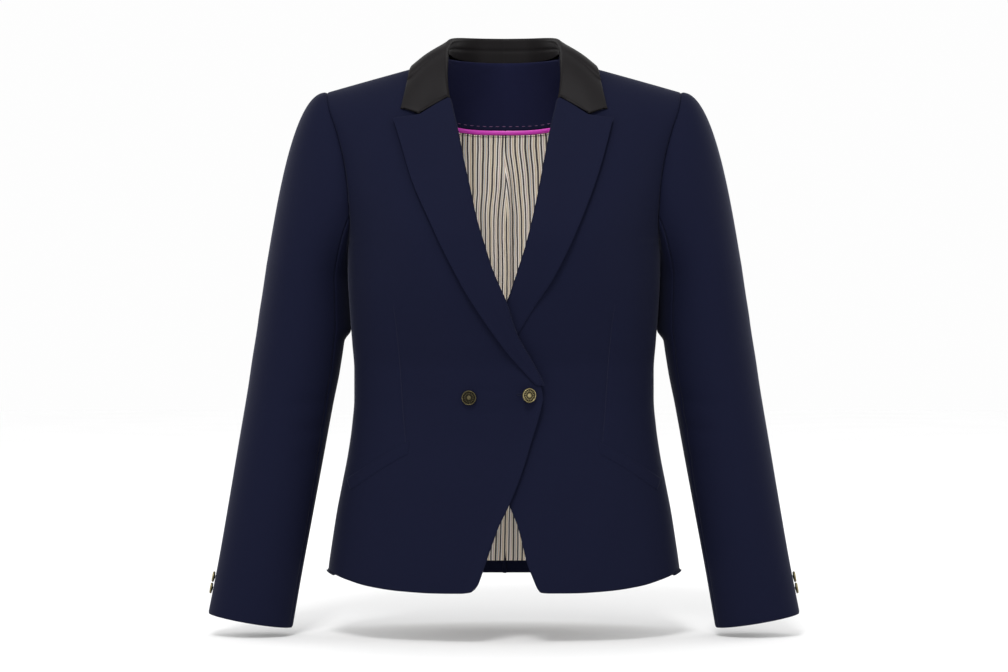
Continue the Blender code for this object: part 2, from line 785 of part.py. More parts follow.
def collar_row(along, leaf_columns, stand_columns):
    """One cross-section of the collar, from the foot of the stand round the fold to the edge."""
    base = np.array([float(collar_tracks["base_" + c](along)) for c in "xyz"])
    if along > 0.52:
        neck_edge = on_front(over_edge(base[2]), base[2], -CLOTH / 2, False)
        base = lerp(base, neck_edge, float(smooth((along - 0.52) / 0.08)))
    fold = np.array([float(collar_tracks["fold_" + c](along)) for c in "xyz"])
    edge = collar_edge_point(along)
    up = fold - (base + edge) / 2
    up /= np.linalg.norm(up)
    inner = base - edge
    inner -= up * np.dot(inner, up)
    inner /= np.linalg.norm(inner)
    if along > 0.52:
        base = base + (1.2 * up + CLOTH / 2 * inner) * float(smooth((along - 0.52) / 0.08))
        base[0] -= 0.9 * float(smooth((along - 0.52) / 0.08))
    row = []
    top = fold + ROLL_RADIUS * inner
    for k in range(stand_columns):
        row.append(lerp(base, top, k / stand_columns))
    for degrees in (0, 45, 90, 135, 180):
        a = math.radians(degrees)
        row.append(fold + ROLL_RADIUS * (math.cos(a) * inner + math.sin(a) * up))
    leaf = row[-1]
    for k in range(1, leaf_columns + 1):
        t = k / leaf_columns
        bow = 3.2 * math.sin(math.pi * t) * (1 - 0.4 * t)
        point = lerp(leaf, edge, t) - inner * bow
        row.append(clear_of_body(point, CLOTH + LAYER_GAP + 0.5))
    return row


def gorge_row(leaf_columns, stand_columns):
    """The collar's front end: along the gorge seam to the notch, then out to the collar's corner."""
    z = GORGE_Z + 2 * SEAM_GAP
    roll_x = float(over_edge(z))
    half = CLOTH / 2
    row = []
    for degrees in np.linspace(215, 90, stand_columns + 5):
        a = math.radians(degrees)
        x = roll_x + ROLL_RADIUS * math.cos(a)
        row.append(on_front(x, z, -half + ROLL_RADIUS * math.sin(a), False))
    tip = COLLAR_STATIONS[-1]
    for k in range(1, leaf_columns + 1):
        t = k / leaf_columns
        turn = (LAPEL_NOTCH.x - roll_x) / (tip.edge_x - roll_x)
        x = lerp(roll_x, tip.edge_x, t)
        if t < turn:
            z = lerp(GORGE_Z + 2 * SEAM_GAP, LAPEL_NOTCH.z + 0.9, t / turn)
        else:
            z = lerp(LAPEL_NOTCH.z + 0.9, tip.edge_z, (t - turn) / (1 - turn))
        lift = ROLL_RADIUS - half + 1.6 * math.sin(math.pi * t) + 0.7 * t
        row.append(on_front(x, z, lift, False))
    return row


def collar_grid(rows=17, leaf_columns=6, stand_columns=3):
    """Half the collar from the middle of the back to its front end."""
    grid = []
    end = np.array(gorge_row(leaf_columns, stand_columns))
    for k in range(rows + 1):
        along = k / rows
        row = np.array(collar_row(along, leaf_columns, stand_columns))
        near = float(smooth((along - 0.72) / 0.28))
        grid.append(lerp(row, end, near))
    grid = np.array(grid)
    grid[0, :, 0] = 0.0
    return grid


def mirrored(grid):
    """The grid of the other side."""
    return grid * np.array([-1.0, 1.0, 1.0])


def pleat(grid):
    """The lining's centre pleat: a soft fold that stands inward and leans to one side."""
    x, z = grid[..., 0], grid[..., 2]
    depth = 7.5 * smooth((-95 - z) / 60) * smooth((z + 590) / 120)
    grid[..., 1] -= depth * np.exp(-(((x - 1.0) / 9.0) ** 2))
    grid[..., 0] += 0.55 * depth * np.exp(-(((x - 1.0) / 8.0) ** 2))
    return grid


def material(name, colour, roughness, metallic=0.0):
    made = bpy.data.materials.new(name)
    made.use_nodes = True
    shader = made.node_tree.nodes["Principled BSDF"]
    shader.inputs["Base Color"].default_value = (*colour, 1.0)
    shader.inputs["Roughness"].default_value = roughness
    shader.inputs["Metallic"].default_value = metallic
    return made


def add_object(name, mesh, collection, look):
    mesh.materials.append(material(name + "_look", *look))
    made = bpy.data.objects.new(name, mesh)
    collection.objects.link(made)
    return made


def grid_mesh(name, grid, outward_is_cross):
    """An open surface from a grid, its faces turned so that the cloth's right side is out."""
    rows, columns = grid.shape[:2]
    faces = []
    for r in range(rows - 1):
        for c in range(columns - 1):
            a = r * columns + c
            b, d = (a + 1, a + columns) if outward_is_cross else (a + columns, a + 1)
            faces.append((a, b, a + columns + 1, d))
    mesh = bpy.data.meshes.new(name)
    mesh.from_pydata([tuple(p) for p in (grid * MM).reshape(-1, 3)], [], faces)
    mesh.update()
    return mesh


def wall(obj, thickness):
    """Gives an open surface its thickness on its wrong side."""
    made = obj.modifiers.new("Thickness", "SOLIDIFY")
    made.thickness = thickness * MM
    made.offset = -1.0
    made.use_even_offset = False
    made.use_quality_normals = False


def mirror(obj):
    made = obj.modifiers.new("Other half", "MIRROR")
    made.use_axis = (True, False, False)
    made.use_clip = True
    made.merge_threshold = 0.0002


def cloth(name, grid, outward_is_cross, thickness, collection, look, both_halves=False):
    """One cloth piece from its grid."""
    made = add_object(name, grid_mesh(name, grid, outward_is_cross), collection, look)
    if both_halves:
        mirror(made)
    wall(made, thickness)
    return made


def ring_tube(name, centres, normals, width, height, collection, look, around=8):
    """A closed tube with an oval section along a line; width lies along the normals."""
    points = []
    along = np.gradient(centres, axis=0)
    along /= np.linalg.norm(along, axis=1, keepdims=True)
    side = np.cross(along, normals)
    for centre, normal, across in zip(centres, normals, side):
        for k in range(around):
            a = 2 * math.pi * k / around
            points.append(centre + normal * (width / 2 * math.cos(a)) + across * (height / 2 * math.sin(a)))
    faces = []
    for r in range(len(centres) - 1):
        for k in range(around):
            a, b = r * around + k, r * around + (k + 1) % around
            faces.append((a, b, b + around, a + around))
    faces.append(tuple(range(around))[::-1])
    faces.append(tuple(range((len(centres) - 1) * around, len(centres) * around)))
    mesh = bpy.data.meshes.new(name)
    mesh.from_pydata([tuple(np.array(p) * MM) for p in points], [], faces)
    mesh.update()
    return add_object(name, mesh, collection, look)


def button(name, centre, normal, radius, height, shank, collection, look, around=20):
    """A lathed button with a raised rim and a shank towards the cloth."""
    rim = ((0.40, 0.0), (0.92, 0.12), (1.0, 0.50), (0.95, 1.0), (0.82, 0.98), (0.74, 0.74))
    share = height / (height + shank)
    profile = [(0.0, 0.0), (0.34, 0.0)]
    profile += [(spoke, 1 - share * (1 - lift)) for spoke, lift in rim]
    profile.append((0.0, 1 - share * 0.14))
    height = height + shank
    normal = np.asarray(normal, float) / np.linalg.norm(normal)
    side = np.cross(normal, [0.0, 0.0, 1.0])
    side /= np.linalg.norm(side)
    up = np.cross(side, normal)
    points = [centre + normal * profile[0][1] * height]
    faces = []
    for share, lift in profile[1:-1]:
        for k in range(around):
            a = 2 * math.pi * k / around
            spoke = side * math.cos(a) + up * math.sin(a)
            points.append(centre + spoke * share * radius + normal * lift * height)
    points.append(centre + normal * profile[-1][1] * height)
    for k in range(around):
        faces.append((0, 1 + k, 1 + (k + 1) % around))
    for r in range(len(profile) - 3):
        for k in range(around):
            a = 1 + r * around + k
            b = 1 + r * around + (k + 1) % around
            faces.append((a, a + around, b + around, b))
    last = len(points) - 1
    start = 1 + (len(profile) - 3) * around
    for k in range(around):
        faces.append((start + k, last, start + (k + 1) % around))
    mesh = bpy.data.meshes.new(name)
    mesh.from_pydata([tuple(np.array(p) * MM) for p in points], [], faces)
    mesh.update()
    return add_object(name, mesh, collection, look)


def welt_grid(rows=2, columns=9):
    """A slanted pocket welt on a front, in own x, its top edge uppermost."""
    top = (Mark(-433.0, 104.5), Mark(-477.5, 176.5))
    bottom = (Mark(-448.5, 105.8), Mark(-490.5, 171.3))
    grid = []
    for r in range(rows + 1):
        across = []
        for c in range(columns + 1):
            t = c / columns
            x = lerp(lerp(bottom[0].x, bottom[1].x, t), lerp(top[0].x, top[1].x, t), r / rows)
            z = lerp(lerp(bottom[0].z, bottom[1].z, t), lerp(top[0].z, top[1].z, t), r / rows)
            z += 2.0 * math.sin(math.pi * t)
            across.append(on_front(x, z, 1.4 + LAYER_GAP + 0.9 * t, False))
        grid.append(across)
    return np.array(grid)


def piping_line(count=26):
    """The piping's middle line and the directions it faces, from one shoulder seam to the other."""
    x = np.linspace(-FACING_END_X + 1, FACING_END_X - 1, count)
    drop = (PIPING_HEIGHT / 2 + 0.3) / np.sqrt(1 + facing_slope(x) ** 2)
    z = facing_z(x) - drop
    x = x + facing_slope(x) * drop
    centres = column_points(BACK, x, rise_at(BACK, x, z))
    normals = outward(BACK, x, centres[:, 2])
    centres[:, 1] += SEAM_GAP
    return centres - normals * (CLOTH + LAYER_GAP + PIPING_THICKNESS / 2 + 0.6), normals


def main():
    for obj in list(bpy.data.objects):
        bpy.data.objects.remove(obj, do_unlink=True)
    blazer = bpy.data.collections.new("double_breasted_blazer")
    bpy.context.scene.collection.children.link(blazer)
    navy = ((0.012, 0.014, 0.030), 0.85)
    black = ((0.028, 0.025, 0.026), 0.45)
    stripes = ((0.58, 0.50, 0.38), 0.6)
    magenta = ((0.45, 0.03, 0.35), 0.35)
    brass = ((0.26, 0.22, 0.13), 0.38, 0.9)

    over = front_grid(over_edge, True)
    under = front_grid(under_edge, False)
    cloth("front_right", mirrored(over), False, CLOTH, blazer, navy)
    cloth("front_left", under, True, CLOTH, blazer, navy)

    back = back_grid(neckline_z, NECK_HALF_WIDTH, BACK_HEM_Z)
    back_half = back.copy()
    back_half[:, 0, 0] = 0.4 + 0.4 * smooth((back_half[:, 0, 2] + 100) / 60)
    cloth("back_left", back_half, False, CLOTH, blazer, navy)
    cloth("back_right", mirrored(back_half), True, CLOTH, blazer, navy)

    for side, flip in (("left", 1.0), ("right", -1.0)):
        for piece, columns in (("top", 12), ("under", 9)):
            grid = sleeve_grid(piece, columns=columns) * np.array([flip, 1.0, 1.0])
            cloth(f"{piece}_sleeve_{side}", grid, flip > 0, CLOTH, blazer, navy)

    cloth(
        "lapel_right",
        mirrored(lapel_grid(over_edge, OVER_LAPEL_EDGE, True, 3.2, 0.0)),
        True,
        CLOTH,
        blazer,
        navy,
    )
    cloth(
        "lapel_left",
        lapel_grid(under_edge, UNDER_LAPEL_EDGE, False, 2.4, 0.30),
        False,
        CLOTH,
        blazer,
        navy,
    )
    cloth("collar", collar_grid(), False, COLLAR_CLOTH, blazer, black, both_halves=True)
    cloth("back_neck_facing", facing_grid(), False, 1.1, blazer, navy, both_halves=True)
    cloth("lining_back", lining_grid(), False, LINING, blazer, stripes)
    centres, normals = piping_line()
    ring_tube(
        "neck_piping", centres, normals, PIPING_THICKNESS, PIPING_HEIGHT, blazer, magenta
    )
    cloth("pocket_welt_left", welt_grid(), True, 1.4, blazer, navy)
    cloth("pocket_welt_right", mirrored(welt_grid()), False, 1.4, blazer, navy)

    for name, own_x, z, turned, shank in (
        ("front_button_outer", 38.3, -385.3, 0.0, 0.9),
        ("front_button_edge", -25.7, -382.5, 0.42, 3.0),
    ):
        seat = mirrored(on_front(own_x, z, 0.4 + 2.6 * math.sin(turned), True))
        facing = mirrored(outward(FRONT, np.array(own_x), np.array(z)))
        facing = facing + np.array([math.tan(turned), 0.0, 0.0])
        button(name, seat, facing, BUTTON_RADIUS, BUTTON_HEIGHT, shank, blazer, brass)
    for side, flip in (("left", 1.0), ("right", -1.0)):
        turn = np.array([flip, 1.0, 1.0])
        for place, z in (("upper", -598.6), ("lower", -611.3)):
            seat = (sleeve_ring(z, np.array(0.0)) + 0.4 * ACROSS) * turn
            button(
                f"sleeve_button_{place}_{side}",
                seat,
                ACROSS * turn,
                SLEEVE_BUTTON_RADIUS,
                SLEEVE_BUTTON_HEIGHT,
                0.5,
                blazer,
                brass,
                around=14,
            )


main()
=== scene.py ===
"""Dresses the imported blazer: fine cloth on the same form, seams, lining, stitches, buttons, finishes.

The frame is metres; the tables and sizes here are millimetres, as a cutter would write them.
"Own" x is measured away from the middle on the piece's own side. +Z is up and the front faces -Y.
"""

import logging  # noqa: E402
import math  # noqa: E402
from collections.abc import Sequence  # noqa: E402
from dataclasses import dataclass  # noqa: E402
from enum import Enum  # noqa: E402
from typing import NamedTuple  # noqa: E402

import bpy  # noqa: E402
import numpy as np  # noqa: E402
from bpy.types import Material, Node, NodeSocket, NodeTree, Object  # noqa: E402
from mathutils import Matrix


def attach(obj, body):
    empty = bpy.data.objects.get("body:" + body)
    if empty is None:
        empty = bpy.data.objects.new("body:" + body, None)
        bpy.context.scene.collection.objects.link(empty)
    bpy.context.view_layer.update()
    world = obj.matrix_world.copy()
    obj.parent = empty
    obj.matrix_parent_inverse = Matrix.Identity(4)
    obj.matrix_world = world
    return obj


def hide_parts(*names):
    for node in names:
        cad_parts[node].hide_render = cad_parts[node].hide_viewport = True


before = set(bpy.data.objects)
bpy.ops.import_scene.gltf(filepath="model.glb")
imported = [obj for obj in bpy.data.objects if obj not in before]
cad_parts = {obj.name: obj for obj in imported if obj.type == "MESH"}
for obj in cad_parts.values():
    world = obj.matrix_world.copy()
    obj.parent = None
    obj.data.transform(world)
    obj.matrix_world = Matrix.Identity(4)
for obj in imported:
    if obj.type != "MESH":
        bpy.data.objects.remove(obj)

log = logging.getLogger("blazer")

Array = np.ndarray
Reals = Array | float
Colour = tuple[float, float, float, float]
MM = 0.001
TINY = 1e-6
CREASE_FADE = 0.4
MIRROR = np.array([-1.0, 1.0, 1.0])
WHITE: Colour = (1.0, 1.0, 1.0, 1.0)


class Face(Enum):
    """Which half of the body form a panel lies on."""

    FRONT = -1
    BACK = 1


class Side(Enum):
    """The wearer's side; the value turns own x into the frame's x."""

    LEFT = 1.0
    RIGHT = -1.0

    def turn(self, points: Array) -> Array:
        """Points in own x, placed on this side."""
        return points * np.array([self.value, 1.0, 1.0])

    def named(self, base: str) -> str:
        """The name of this side's copy of a piece."""
        return f"{base}_{self.name.lower()}"


class Hold(Enum):
    """How a sheet of cloth is held."""

    HUNG = "hung"
    FOLDED = "folded"
    LAID = "laid"


class SleevePiece(Enum):
    """The two pieces of a tailored sleeve."""

    TOP = "top"
    UNDER = "under"


class Mark(NamedTuple):
    """A point of a seam or an edge, by height."""

    z: float
    x: float


class EdgeRow(NamedTuple):
    """Own x of the two fronts' edges at one height: the one that laps over, and the one under it."""

    z: float
    over: float
    under: float


class ArmholeRow(NamedTuple):
    """Own x of the armhole seam at one height, on the front and on the back."""

    z: float
    front: float
    back: float


class Rounding(NamedTuple):
    """The powers that round a half of the form over into the shoulder seam, and what they gain outwards."""

    up: float
    up_gain: float
    over: float
    over_gain: float


class Level(NamedTuple):
    """The garment's outside at one height."""

    z: float
    half_width: float
    front: float
    back: float


class Ring(NamedTuple):
    """A cross-section of the sleeve, square to its length."""

    z: float
    x: float
    y: float
    half_width: float
    half_depth: float


class CollarStation(NamedTuple):
    """One section of the collar: the foot of its stand, its fold and its outer edge."""

    along: float
    base_x: float
    base_y: float
    base_z: float
    fold_x: float
    fold_y: float
    fold_z: float
    edge_x: float
    edge_z: float
    edge_side: float


class Crease(NamedTuple):
    """A soft trough (depth over 0) or ridge from one point to another, in a piece's own two directions."""

    start: tuple[float, float]
    end: tuple[float, float]
    depth: float
    width: float


def smooth(value: Reals) -> Array:
    """Eases 0 to 1."""
    value = np.clip(value, 0, 1)
    return value * value * (3 - 2 * value)


def lerp(a: Reals, b: Reals, t: Reals) -> Array:
    """The point at share t from a to b."""
    return a + (b - a) * t


def hermite(t: Reals, start: Reals, leave: Reals, end: Reals, arrive: Reals) -> Array:
    """The cubic from start to end that leaves and arrives with the given slopes, at share t."""
    past, left = t * t, (1 - t) ** 2
    return (1 + 2 * t) * left * start + t * left * leave + past * (3 - 2 * t) * end + past * (t - 1) * arrive


def unit(vectors: Array) -> Array:
    """The same directions, one long."""
    return vectors / np.maximum(np.linalg.norm(vectors, axis=-1, keepdims=True), 1e-9)


def bell(off: Reals, width: Reals) -> Array:
    """1 on a line, falling off smoothly to either side."""
    return np.exp(-((off / width) ** 2))


class Track:
    """A smooth line through a short table, with no overshoot between its rows."""

    def __init__(self, keys: Sequence[float], values: Sequence[float]) -> None:
        """Keeps the table's rows in order and finds the slope at each.

        Args:
            keys: What the table is read by.
            values: The value at each key.
        """
        order = np.argsort(keys)
        self.keys = np.asarray(keys, float)[order]
        self.values = np.asarray(values, float)[order]
        slope = np.diff(self.values) / np.diff(self.keys)
        before, after = slope[:-1], slope[1:]
        rising = before * after > 0
        inner = np.zeros(len(slope) - 1)
        inner[rising] = 2 * (before * after)[rising] / (before + after)[rising]
        self.slopes = np.concatenate([slope[:1], inner, slope[-1:]])

    def __call__(self, at: Reals) -> Array:
        """Reads the line.

        Args:
            at: One key or many; those past the table's ends take the end's value.

        Returns:
            The values there.
        """
        at = np.clip(np.asarray(at, float), self.keys[0], self.keys[-1])
        row = np.clip(np.searchsorted(self.keys, at, side="right") - 1, 0, len(self.keys) - 2)
        step = self.keys[row + 1] - self.keys[row]
        leave, arrive = step * self.slopes[row], step * self.slopes[row + 1]
        return hermite((at - self.keys[row]) / step, self.values[row], leave, self.values[row + 1], arrive)


def column(rows: Sequence[tuple], value: str, key: str = "z") -> Track:
    """A smooth line through one named column of a table, read by another."""
    return Track([getattr(row, key) for row in rows], [getattr(row, value) for row in rows])


LEVELS = (
    Level(-640, 205.0, 125, 126),
    Level(-580, 199.5, 121, 122),
    Level(-548, 195.0, 118, 118),
    Level(-516, 190.0, 115, 112),
    Level(-484, 183.8, 112, 105),
    Level(-452, 177.6, 108, 98),
    Level(-420, 173.0, 104, 92),
    Level(-388, 170.4, 101, 88),
    Level(-356, 170.4, 102, 88),
    Level(-324, 173.0, 109, 94),
    Level(-290, 176.0, 116, 102),
    Level(-255, 178.0, 121, 108),
    Level(-215, 179.0, 123, 112),
    Level(-186, 182.5, 123, 113),
    Level(-160, 187.5, 123, 113),
    Level(-125, 194.5, 123, 112),
    Level(-90, 206.0, 122, 112),
    Level(-65, 221.0, 122, 112),
    Level(-50, 232.0, 122, 112),
    Level(-38, 240.0, 122, 112),
    Level(70, 262.0, 122, 112),
)

ROUNDINGS = {Face.FRONT: Rounding(1.15, 0.95, 1.3, 0.6), Face.BACK: Rounding(1.9, 0.2, 1.6, 0.3)}

FRONT_EDGES = (
    EdgeRow(-600.0, 35.5, 44.0),
    EdgeRow(-590.7, 31.5, 39.9),
    EdgeRow(-559.0, 20.8, 26.3),
    EdgeRow(-530.0, 7.8, 16.6),
    EdgeRow(-503.0, -5.5, 5.5),
    EdgeRow(-461.5, -21.5, -14.0),
    EdgeRow(-435.0, -29.7, -27.5),
    EdgeRow(-400.0, -40.0, -45.5),
    EdgeRow(-385.0, -42.8, -50.0),
    EdgeRow(-374.0, -41.0, -49.0),
    EdgeRow(-345.0, -27.0, -31.0),
    EdgeRow(-316.0, -10.7, -13.0),
    EdgeRow(-280.0, 1.4, 6.9),
    EdgeRow(-247.0, 15.6, 18.5),
    EdgeRow(-217.0, 25.3, 27.9),
    EdgeRow(-186.0, 34.4, 35.6),
    EdgeRow(-155.0, 41.0, 42.2),
    EdgeRow(-123.0, 48.3, 48.3),
    EdgeRow(-84.0, 56.0, 56.0),
    EdgeRow(-50.0, 63.6, 63.6),
    EdgeRow(-25.0, 66.2, 66.2),
    EdgeRow(8.0, 65.5, 65.5),
)

FRONT_HEM = (
    Mark(-592.9, 30.0),
    Mark(-597.6, 37.0),
    Mark(-599.2, 48.0),
    Mark(-599.4, 77.0),
    Mark(-597.9, 115.0),
    Mark(-593.9, 151.0),
    Mark(-588.2, 177.0),
    Mark(-582.0, 200.0),
)

FRONT_ROWS = (
    -590.7, -574.0, -549.0, -523.0, -498.0, -474.0, -451.0, -428.0, -408.0,
    -393.0, -380.0, -366.0, -350.0, -326.0, -300.0, -272.0, -243.0, -215.0,
)  # fmt: skip

ARMHOLES = (
    ArmholeRow(-215, 179.0, 179.0),
    ArmholeRow(-205, 176.0, 177.0),
    ArmholeRow(-186, 174.0, 177.0),
    ArmholeRow(-160, 175.0, 180.0),
    ArmholeRow(-125, 179.5, 185.0),
    ArmholeRow(-90, 188.0, 191.5),
    ArmholeRow(-60, 198.0, 199.0),
    ArmholeRow(-39.5, 202.0, 202.0),
)

# Here x is how far the right front is held out by the left one under it.
OVERLAP_LIFT = (
    Mark(-640, 2.8),
    Mark(-440, 2.9),
    Mark(-380, 7.6),
    Mark(-285, 7.6),
    Mark(-262, 6.4),
    Mark(-215, 1.8),
    Mark(-185, 0.0),
    Mark(20, 0.0),
)

LAPEL_NOTCH = Mark(-71.6, 95.6)

OVER_LAPEL_EDGE = (
    Mark(-77.2, 124.8),
    Mark(-107.7, 114.8),
    Mark(-147.4, 102.0),
    Mark(-199.6, 78.5),
    Mark(-249.8, 53.5),
    Mark(-278.1, 37.1),
    Mark(-328.4, 2.2),
    Mark(-360.0, -23.4),
    Mark(-371.5, -34.0),
)

UNDER_LAPEL_EDGE = (
    Mark(-77.2, 122.6),
    Mark(-111.0, 113.5),
    Mark(-149.8, 101.0),
    Mark(-203.0, 79.5),
    Mark(-254.0, 54.5),
    Mark(-287.0, 33.0),
    Mark(-318.0, 13.5),
    Mark(-352.0, -16.0),
    Mark(-371.5, -41.5),
)

SLEEVE_RINGS = (
    Ring(-245.0, 225.6, 3.0, 45.9, 57.0),
    Ring(-276.0, 228.0, 5.0, 48.2, 57.0),
    Ring(-308.0, 231.0, 6.0, 50.2, 56.0),
    Ring(-348.0, 237.0, 6.0, 50.4, 54.0),
    Ring(-388.0, 243.9, 5.0, 49.4, 51.5),
    Ring(-452.0, 254.8, 0.0, 48.9, 47.5),
    Ring(-516.0, 265.6, -7.0, 48.3, 43.5),
    Ring(-580.0, 276.5, -15.0, 47.8, 39.5),
    Ring(-638.5, 286.7, -23.0, 48.3, 36.5),
)

COLLAR_STATIONS = (
    CollarStation(0.00, 0.0, 70.6, 0.8, 0.0, 71.5, 26.2, 0.0, -29.0, 1),
    CollarStation(0.14, 25.0, 66.2, 0.8, 26.0, 66.5, 26.0, 38.0, -28.0, 1),
    CollarStation(0.28, 45.5, 50.0, 1.4, 47.5, 51.5, 25.0, 72.0, -24.0, 1),
    CollarStation(0.40, 57.5, 29.5, 3.0, 60.0, 30.5, 22.0, 95.0, -17.0, 1),
    CollarStation(0.52, 62.0, 8.0, 4.5, 65.0, 9.0, 14.5, 106.0, -9.6, 0),
    CollarStation(0.66, 65.0, -9.0, -8.5, 67.0, -9.0, 1.5, 110.0, -31.0, -1),
    CollarStation(0.78, 67.5, -22.0, -24.0, 67.2, -25.0, -14.5, 112.5, -45.0, -1),
    CollarStation(0.90, 70.0, -35.0, -39.0, 66.0, -37.6, -31.5, 114.5, -57.0, -1),
    CollarStation(1.00, 71.5, -45.0, -47.5, 64.0, -47.6, -46.5, 115.6, -62.9, -1),
)


@dataclass
class BlazerForm:
    """The worn body form that every panel is laid on, from the same sizes as the solids."""

    cloth: float = 1.6
    seam_gap: float = 0.2
    layer_gap: float = 0.5
    roll_radius: float = 3.2
    shoulder_point: Mark = Mark(-39.5, 202.0)
    shoulder_slope: float = 0.285
    shoulder_seam_y: float = 8.0
    neck_half_width: float = 65.0
    neck_rise: float = 45.0
    neck_spread: float = 40.0
    bust_z: float = -215.0
    blade_z: float = -150.0
    ring_power: float = 2.4
    apex: tuple[float, float, float] = (88.0, -216.0, 7.5)
    apex_spread: tuple[float, float] = (46.0, 70.0)
    soft_start: float = 0.12
    rounds_from: float = 60.0
    rounds_over: float = 130.0
    lap_ends: float = 104.0
    lap_fade: float = 46.0

    def __post_init__(self) -> None:
        """Turns the tables into smooth lines."""
        self.half_width = column(LEVELS, "half_width")
        self.depth = {Face.FRONT: column(LEVELS, "front"), Face.BACK: column(LEVELS, "back")}
        self.armhole = {Face.FRONT: column(ARMHOLES, "front"), Face.BACK: column(ARMHOLES, "back")}
        self.over_edge = column(FRONT_EDGES, "over")
        self.under_edge = column(FRONT_EDGES, "under")
        self.overlap_lift = column(OVERLAP_LIFT, "x")
        self.front_hem = column(FRONT_HEM, "z", "x")

    def fullest_z(self, face: Face) -> float:
        """The level where this half of the form stands out most."""
        return self.bust_z if face is Face.FRONT else self.blade_z

    def shoulder_z(self, x: Reals) -> Array:
        """Height of the shoulder line, carried on up the neck inside the neckline."""
        x = np.abs(x)
        slope = (self.shoulder_point.x - x) * self.shoulder_slope
        return self.shoulder_point.z + slope + self.neck_rise * np.exp(-((x / self.neck_spread) ** 2))

    def outer_share(self, x: Reals) -> Array:
        """0 by the neck, 1 towards the shoulder's end."""
        return smooth((np.abs(x) - self.rounds_from) / self.rounds_over)

    def roundings(self, face: Face, x: Reals) -> tuple[Array, Array]:
        """The two powers that round the form over into the shoulder seam, at x."""
        row, out = ROUNDINGS[face], self.outer_share(x)
        return row.up + row.up_gain * out, row.over + row.over_gain * out

    def softness(self, face: Face, x: Reals) -> Array:
        """How softly the chest starts to slope back, at x."""
        if face is Face.BACK:
            return np.zeros_like(np.asarray(x, float)) + TINY
        return self.soft_start * (1 - self.outer_share(x)) + TINY

    def eased(self, face: Face, x: Reals, h: Array) -> Array:
        """Height share h with a soft start, still 1 at the shoulder seam."""
        soft = self.softness(face, x)
        return (1 + soft) * h * h / (h + soft)

    def uneased(self, face: Face, x: Reals, value: Reals) -> Array:
        """The height share whose eased value this is."""
        soft = self.softness(face, x)
        root = np.sqrt(value * value + 4 * (1 + soft) * value * soft)
        return (value + root) / (2 * (1 + soft))

    def bust(self, face: Face, x: Reals, z: Reals) -> Reals:
        """The shaping over the bust, forward of the plain ring."""
        if face is Face.BACK:
            return 0.0
        (at_x, at_z, lift), (wide, tall) = self.apex, self.apex_spread
        return lift * np.exp(-(((np.abs(x) - at_x) / wide) ** 2) - ((z - at_z) / tall) ** 2)

    def ring_share(self, x: Reals, z: Reals) -> Array:
        """Depth of the level's plain ring at x, as a share of its greatest."""
        across = np.clip(np.abs(x) / self.half_width(z), 0, 1)
        return (1 - across**self.ring_power) ** (1 / self.ring_power)

    def surface_y(self, face: Face, x: Reals, z: Reals) -> Array:
        """The form's y at x, z.

        Args:
            face: Front or back.
            x: Distance from the middle.
            z: Height.

        Returns:
            The y there.
        """
        p, q = self.roundings(face, x)
        base = self.fullest_z(face)
        h = np.clip((z - base) / (self.shoulder_z(x) - base), 0, 1)
        share = (1 - self.eased(face, x, h) ** p) ** (1 / q)
        depth = self.depth[face](z) * self.ring_share(x, z) + self.bust(face, x, z)
        return self.shoulder_seam_y * (1 - share) + face.value * depth * share

    def outward(self, face: Face, x: Reals, z: Reals) -> Array:
        """The form's unit normals.

        Args:
            face: Front or back.
            x: Distance from the middle.
            z: Height.

        Returns:
            One unit vector a point, pointing away from the wearer.
        """
        step = 0.5
        ahead = self.surface_y(face, x + step, z) - self.surface_y(face, x - step, z)
        above = self.surface_y(face, x, z + step) - self.surface_y(face, x, z - step)
        return unit(np.stack([-ahead, np.ones_like(ahead) * 2 * step, -above], axis=-1) * face.value)

    def lap(self, x: Reals, z: Reals) -> Array:
        """How far the right front is held out by the left one under it."""
        return self.overlap_lift(z) * smooth((self.lap_ends - x) / self.lap_fade)

    def on_front(self, x: Reals, z: Reals, lift: Reals, over: bool) -> Array:
        """Points on a front, moved out of it.

        Args:
            x: Own x.
            z: Height.
            lift: How far out of the form.
            over: Whether the front is the one that laps over.

        Returns:
            The points, in own x.
        """
        x, z = np.broadcast_arrays(np.asarray(x, float), np.asarray(z, float))
        points = np.stack([x, self.surface_y(Face.FRONT, x, z), z], axis=-1)
        if over:
            points[..., 1] -= self.lap(x, z)
        return points + self.outward(Face.FRONT, x, z) * np.asarray(lift, float)[..., None]

    def turn_of(self, x: Reals, z: Reals) -> Array:
        """Angle round the level's ring, 0 at the side and a right angle in the middle."""
        across = np.clip(x / self.half_width(z), -1, 1)
        return np.arccos(np.sign(across) * np.abs(across) ** (self.ring_power / 2))

    def points(self, face: Face, turn: Array, rise: Array) -> Array:
        """Form points by turn round the ring and rise.

        Args:
            face: Front or back.
            turn: Angle from the side.
            rise: Millimetres under the fullest level, then 0 to 1 above it.

        Returns:
            The points.
        """
        turn, rise = np.broadcast_arrays(np.asarray(turn, float), np.asarray(rise, float))
        lean = np.cos(turn)
        across = np.sign(lean) * np.abs(lean) ** (2 / self.ring_power)
        base = self.fullest_z(face)
        angle = np.clip(rise, 0, 1) * math.pi / 2
        z = base + np.minimum(rise, 0) + 100.0 * np.clip(rise, 0, 1)
        for _ in range(14):
            x = self.half_width(z) * across
            p, _q = self.roundings(face, x)
            h = self.uneased(face, x, np.sin(angle) ** (2 / p))
            z = base + np.minimum(rise, 0) + h * (self.shoulder_z(x) - base)
        x = self.half_width(z) * across
        _p, q = self.roundings(face, x)
        share = np.cos(angle) ** (2 / q)
        ring = np.abs(np.sin(turn)) ** (2 / self.ring_power)
        depth = self.depth[face](z) * ring + self.bust(face, x, z)
        y = self.shoulder_seam_y * (1 - share) + face.value * depth * share
        return np.stack([x, y, z], axis=-1)

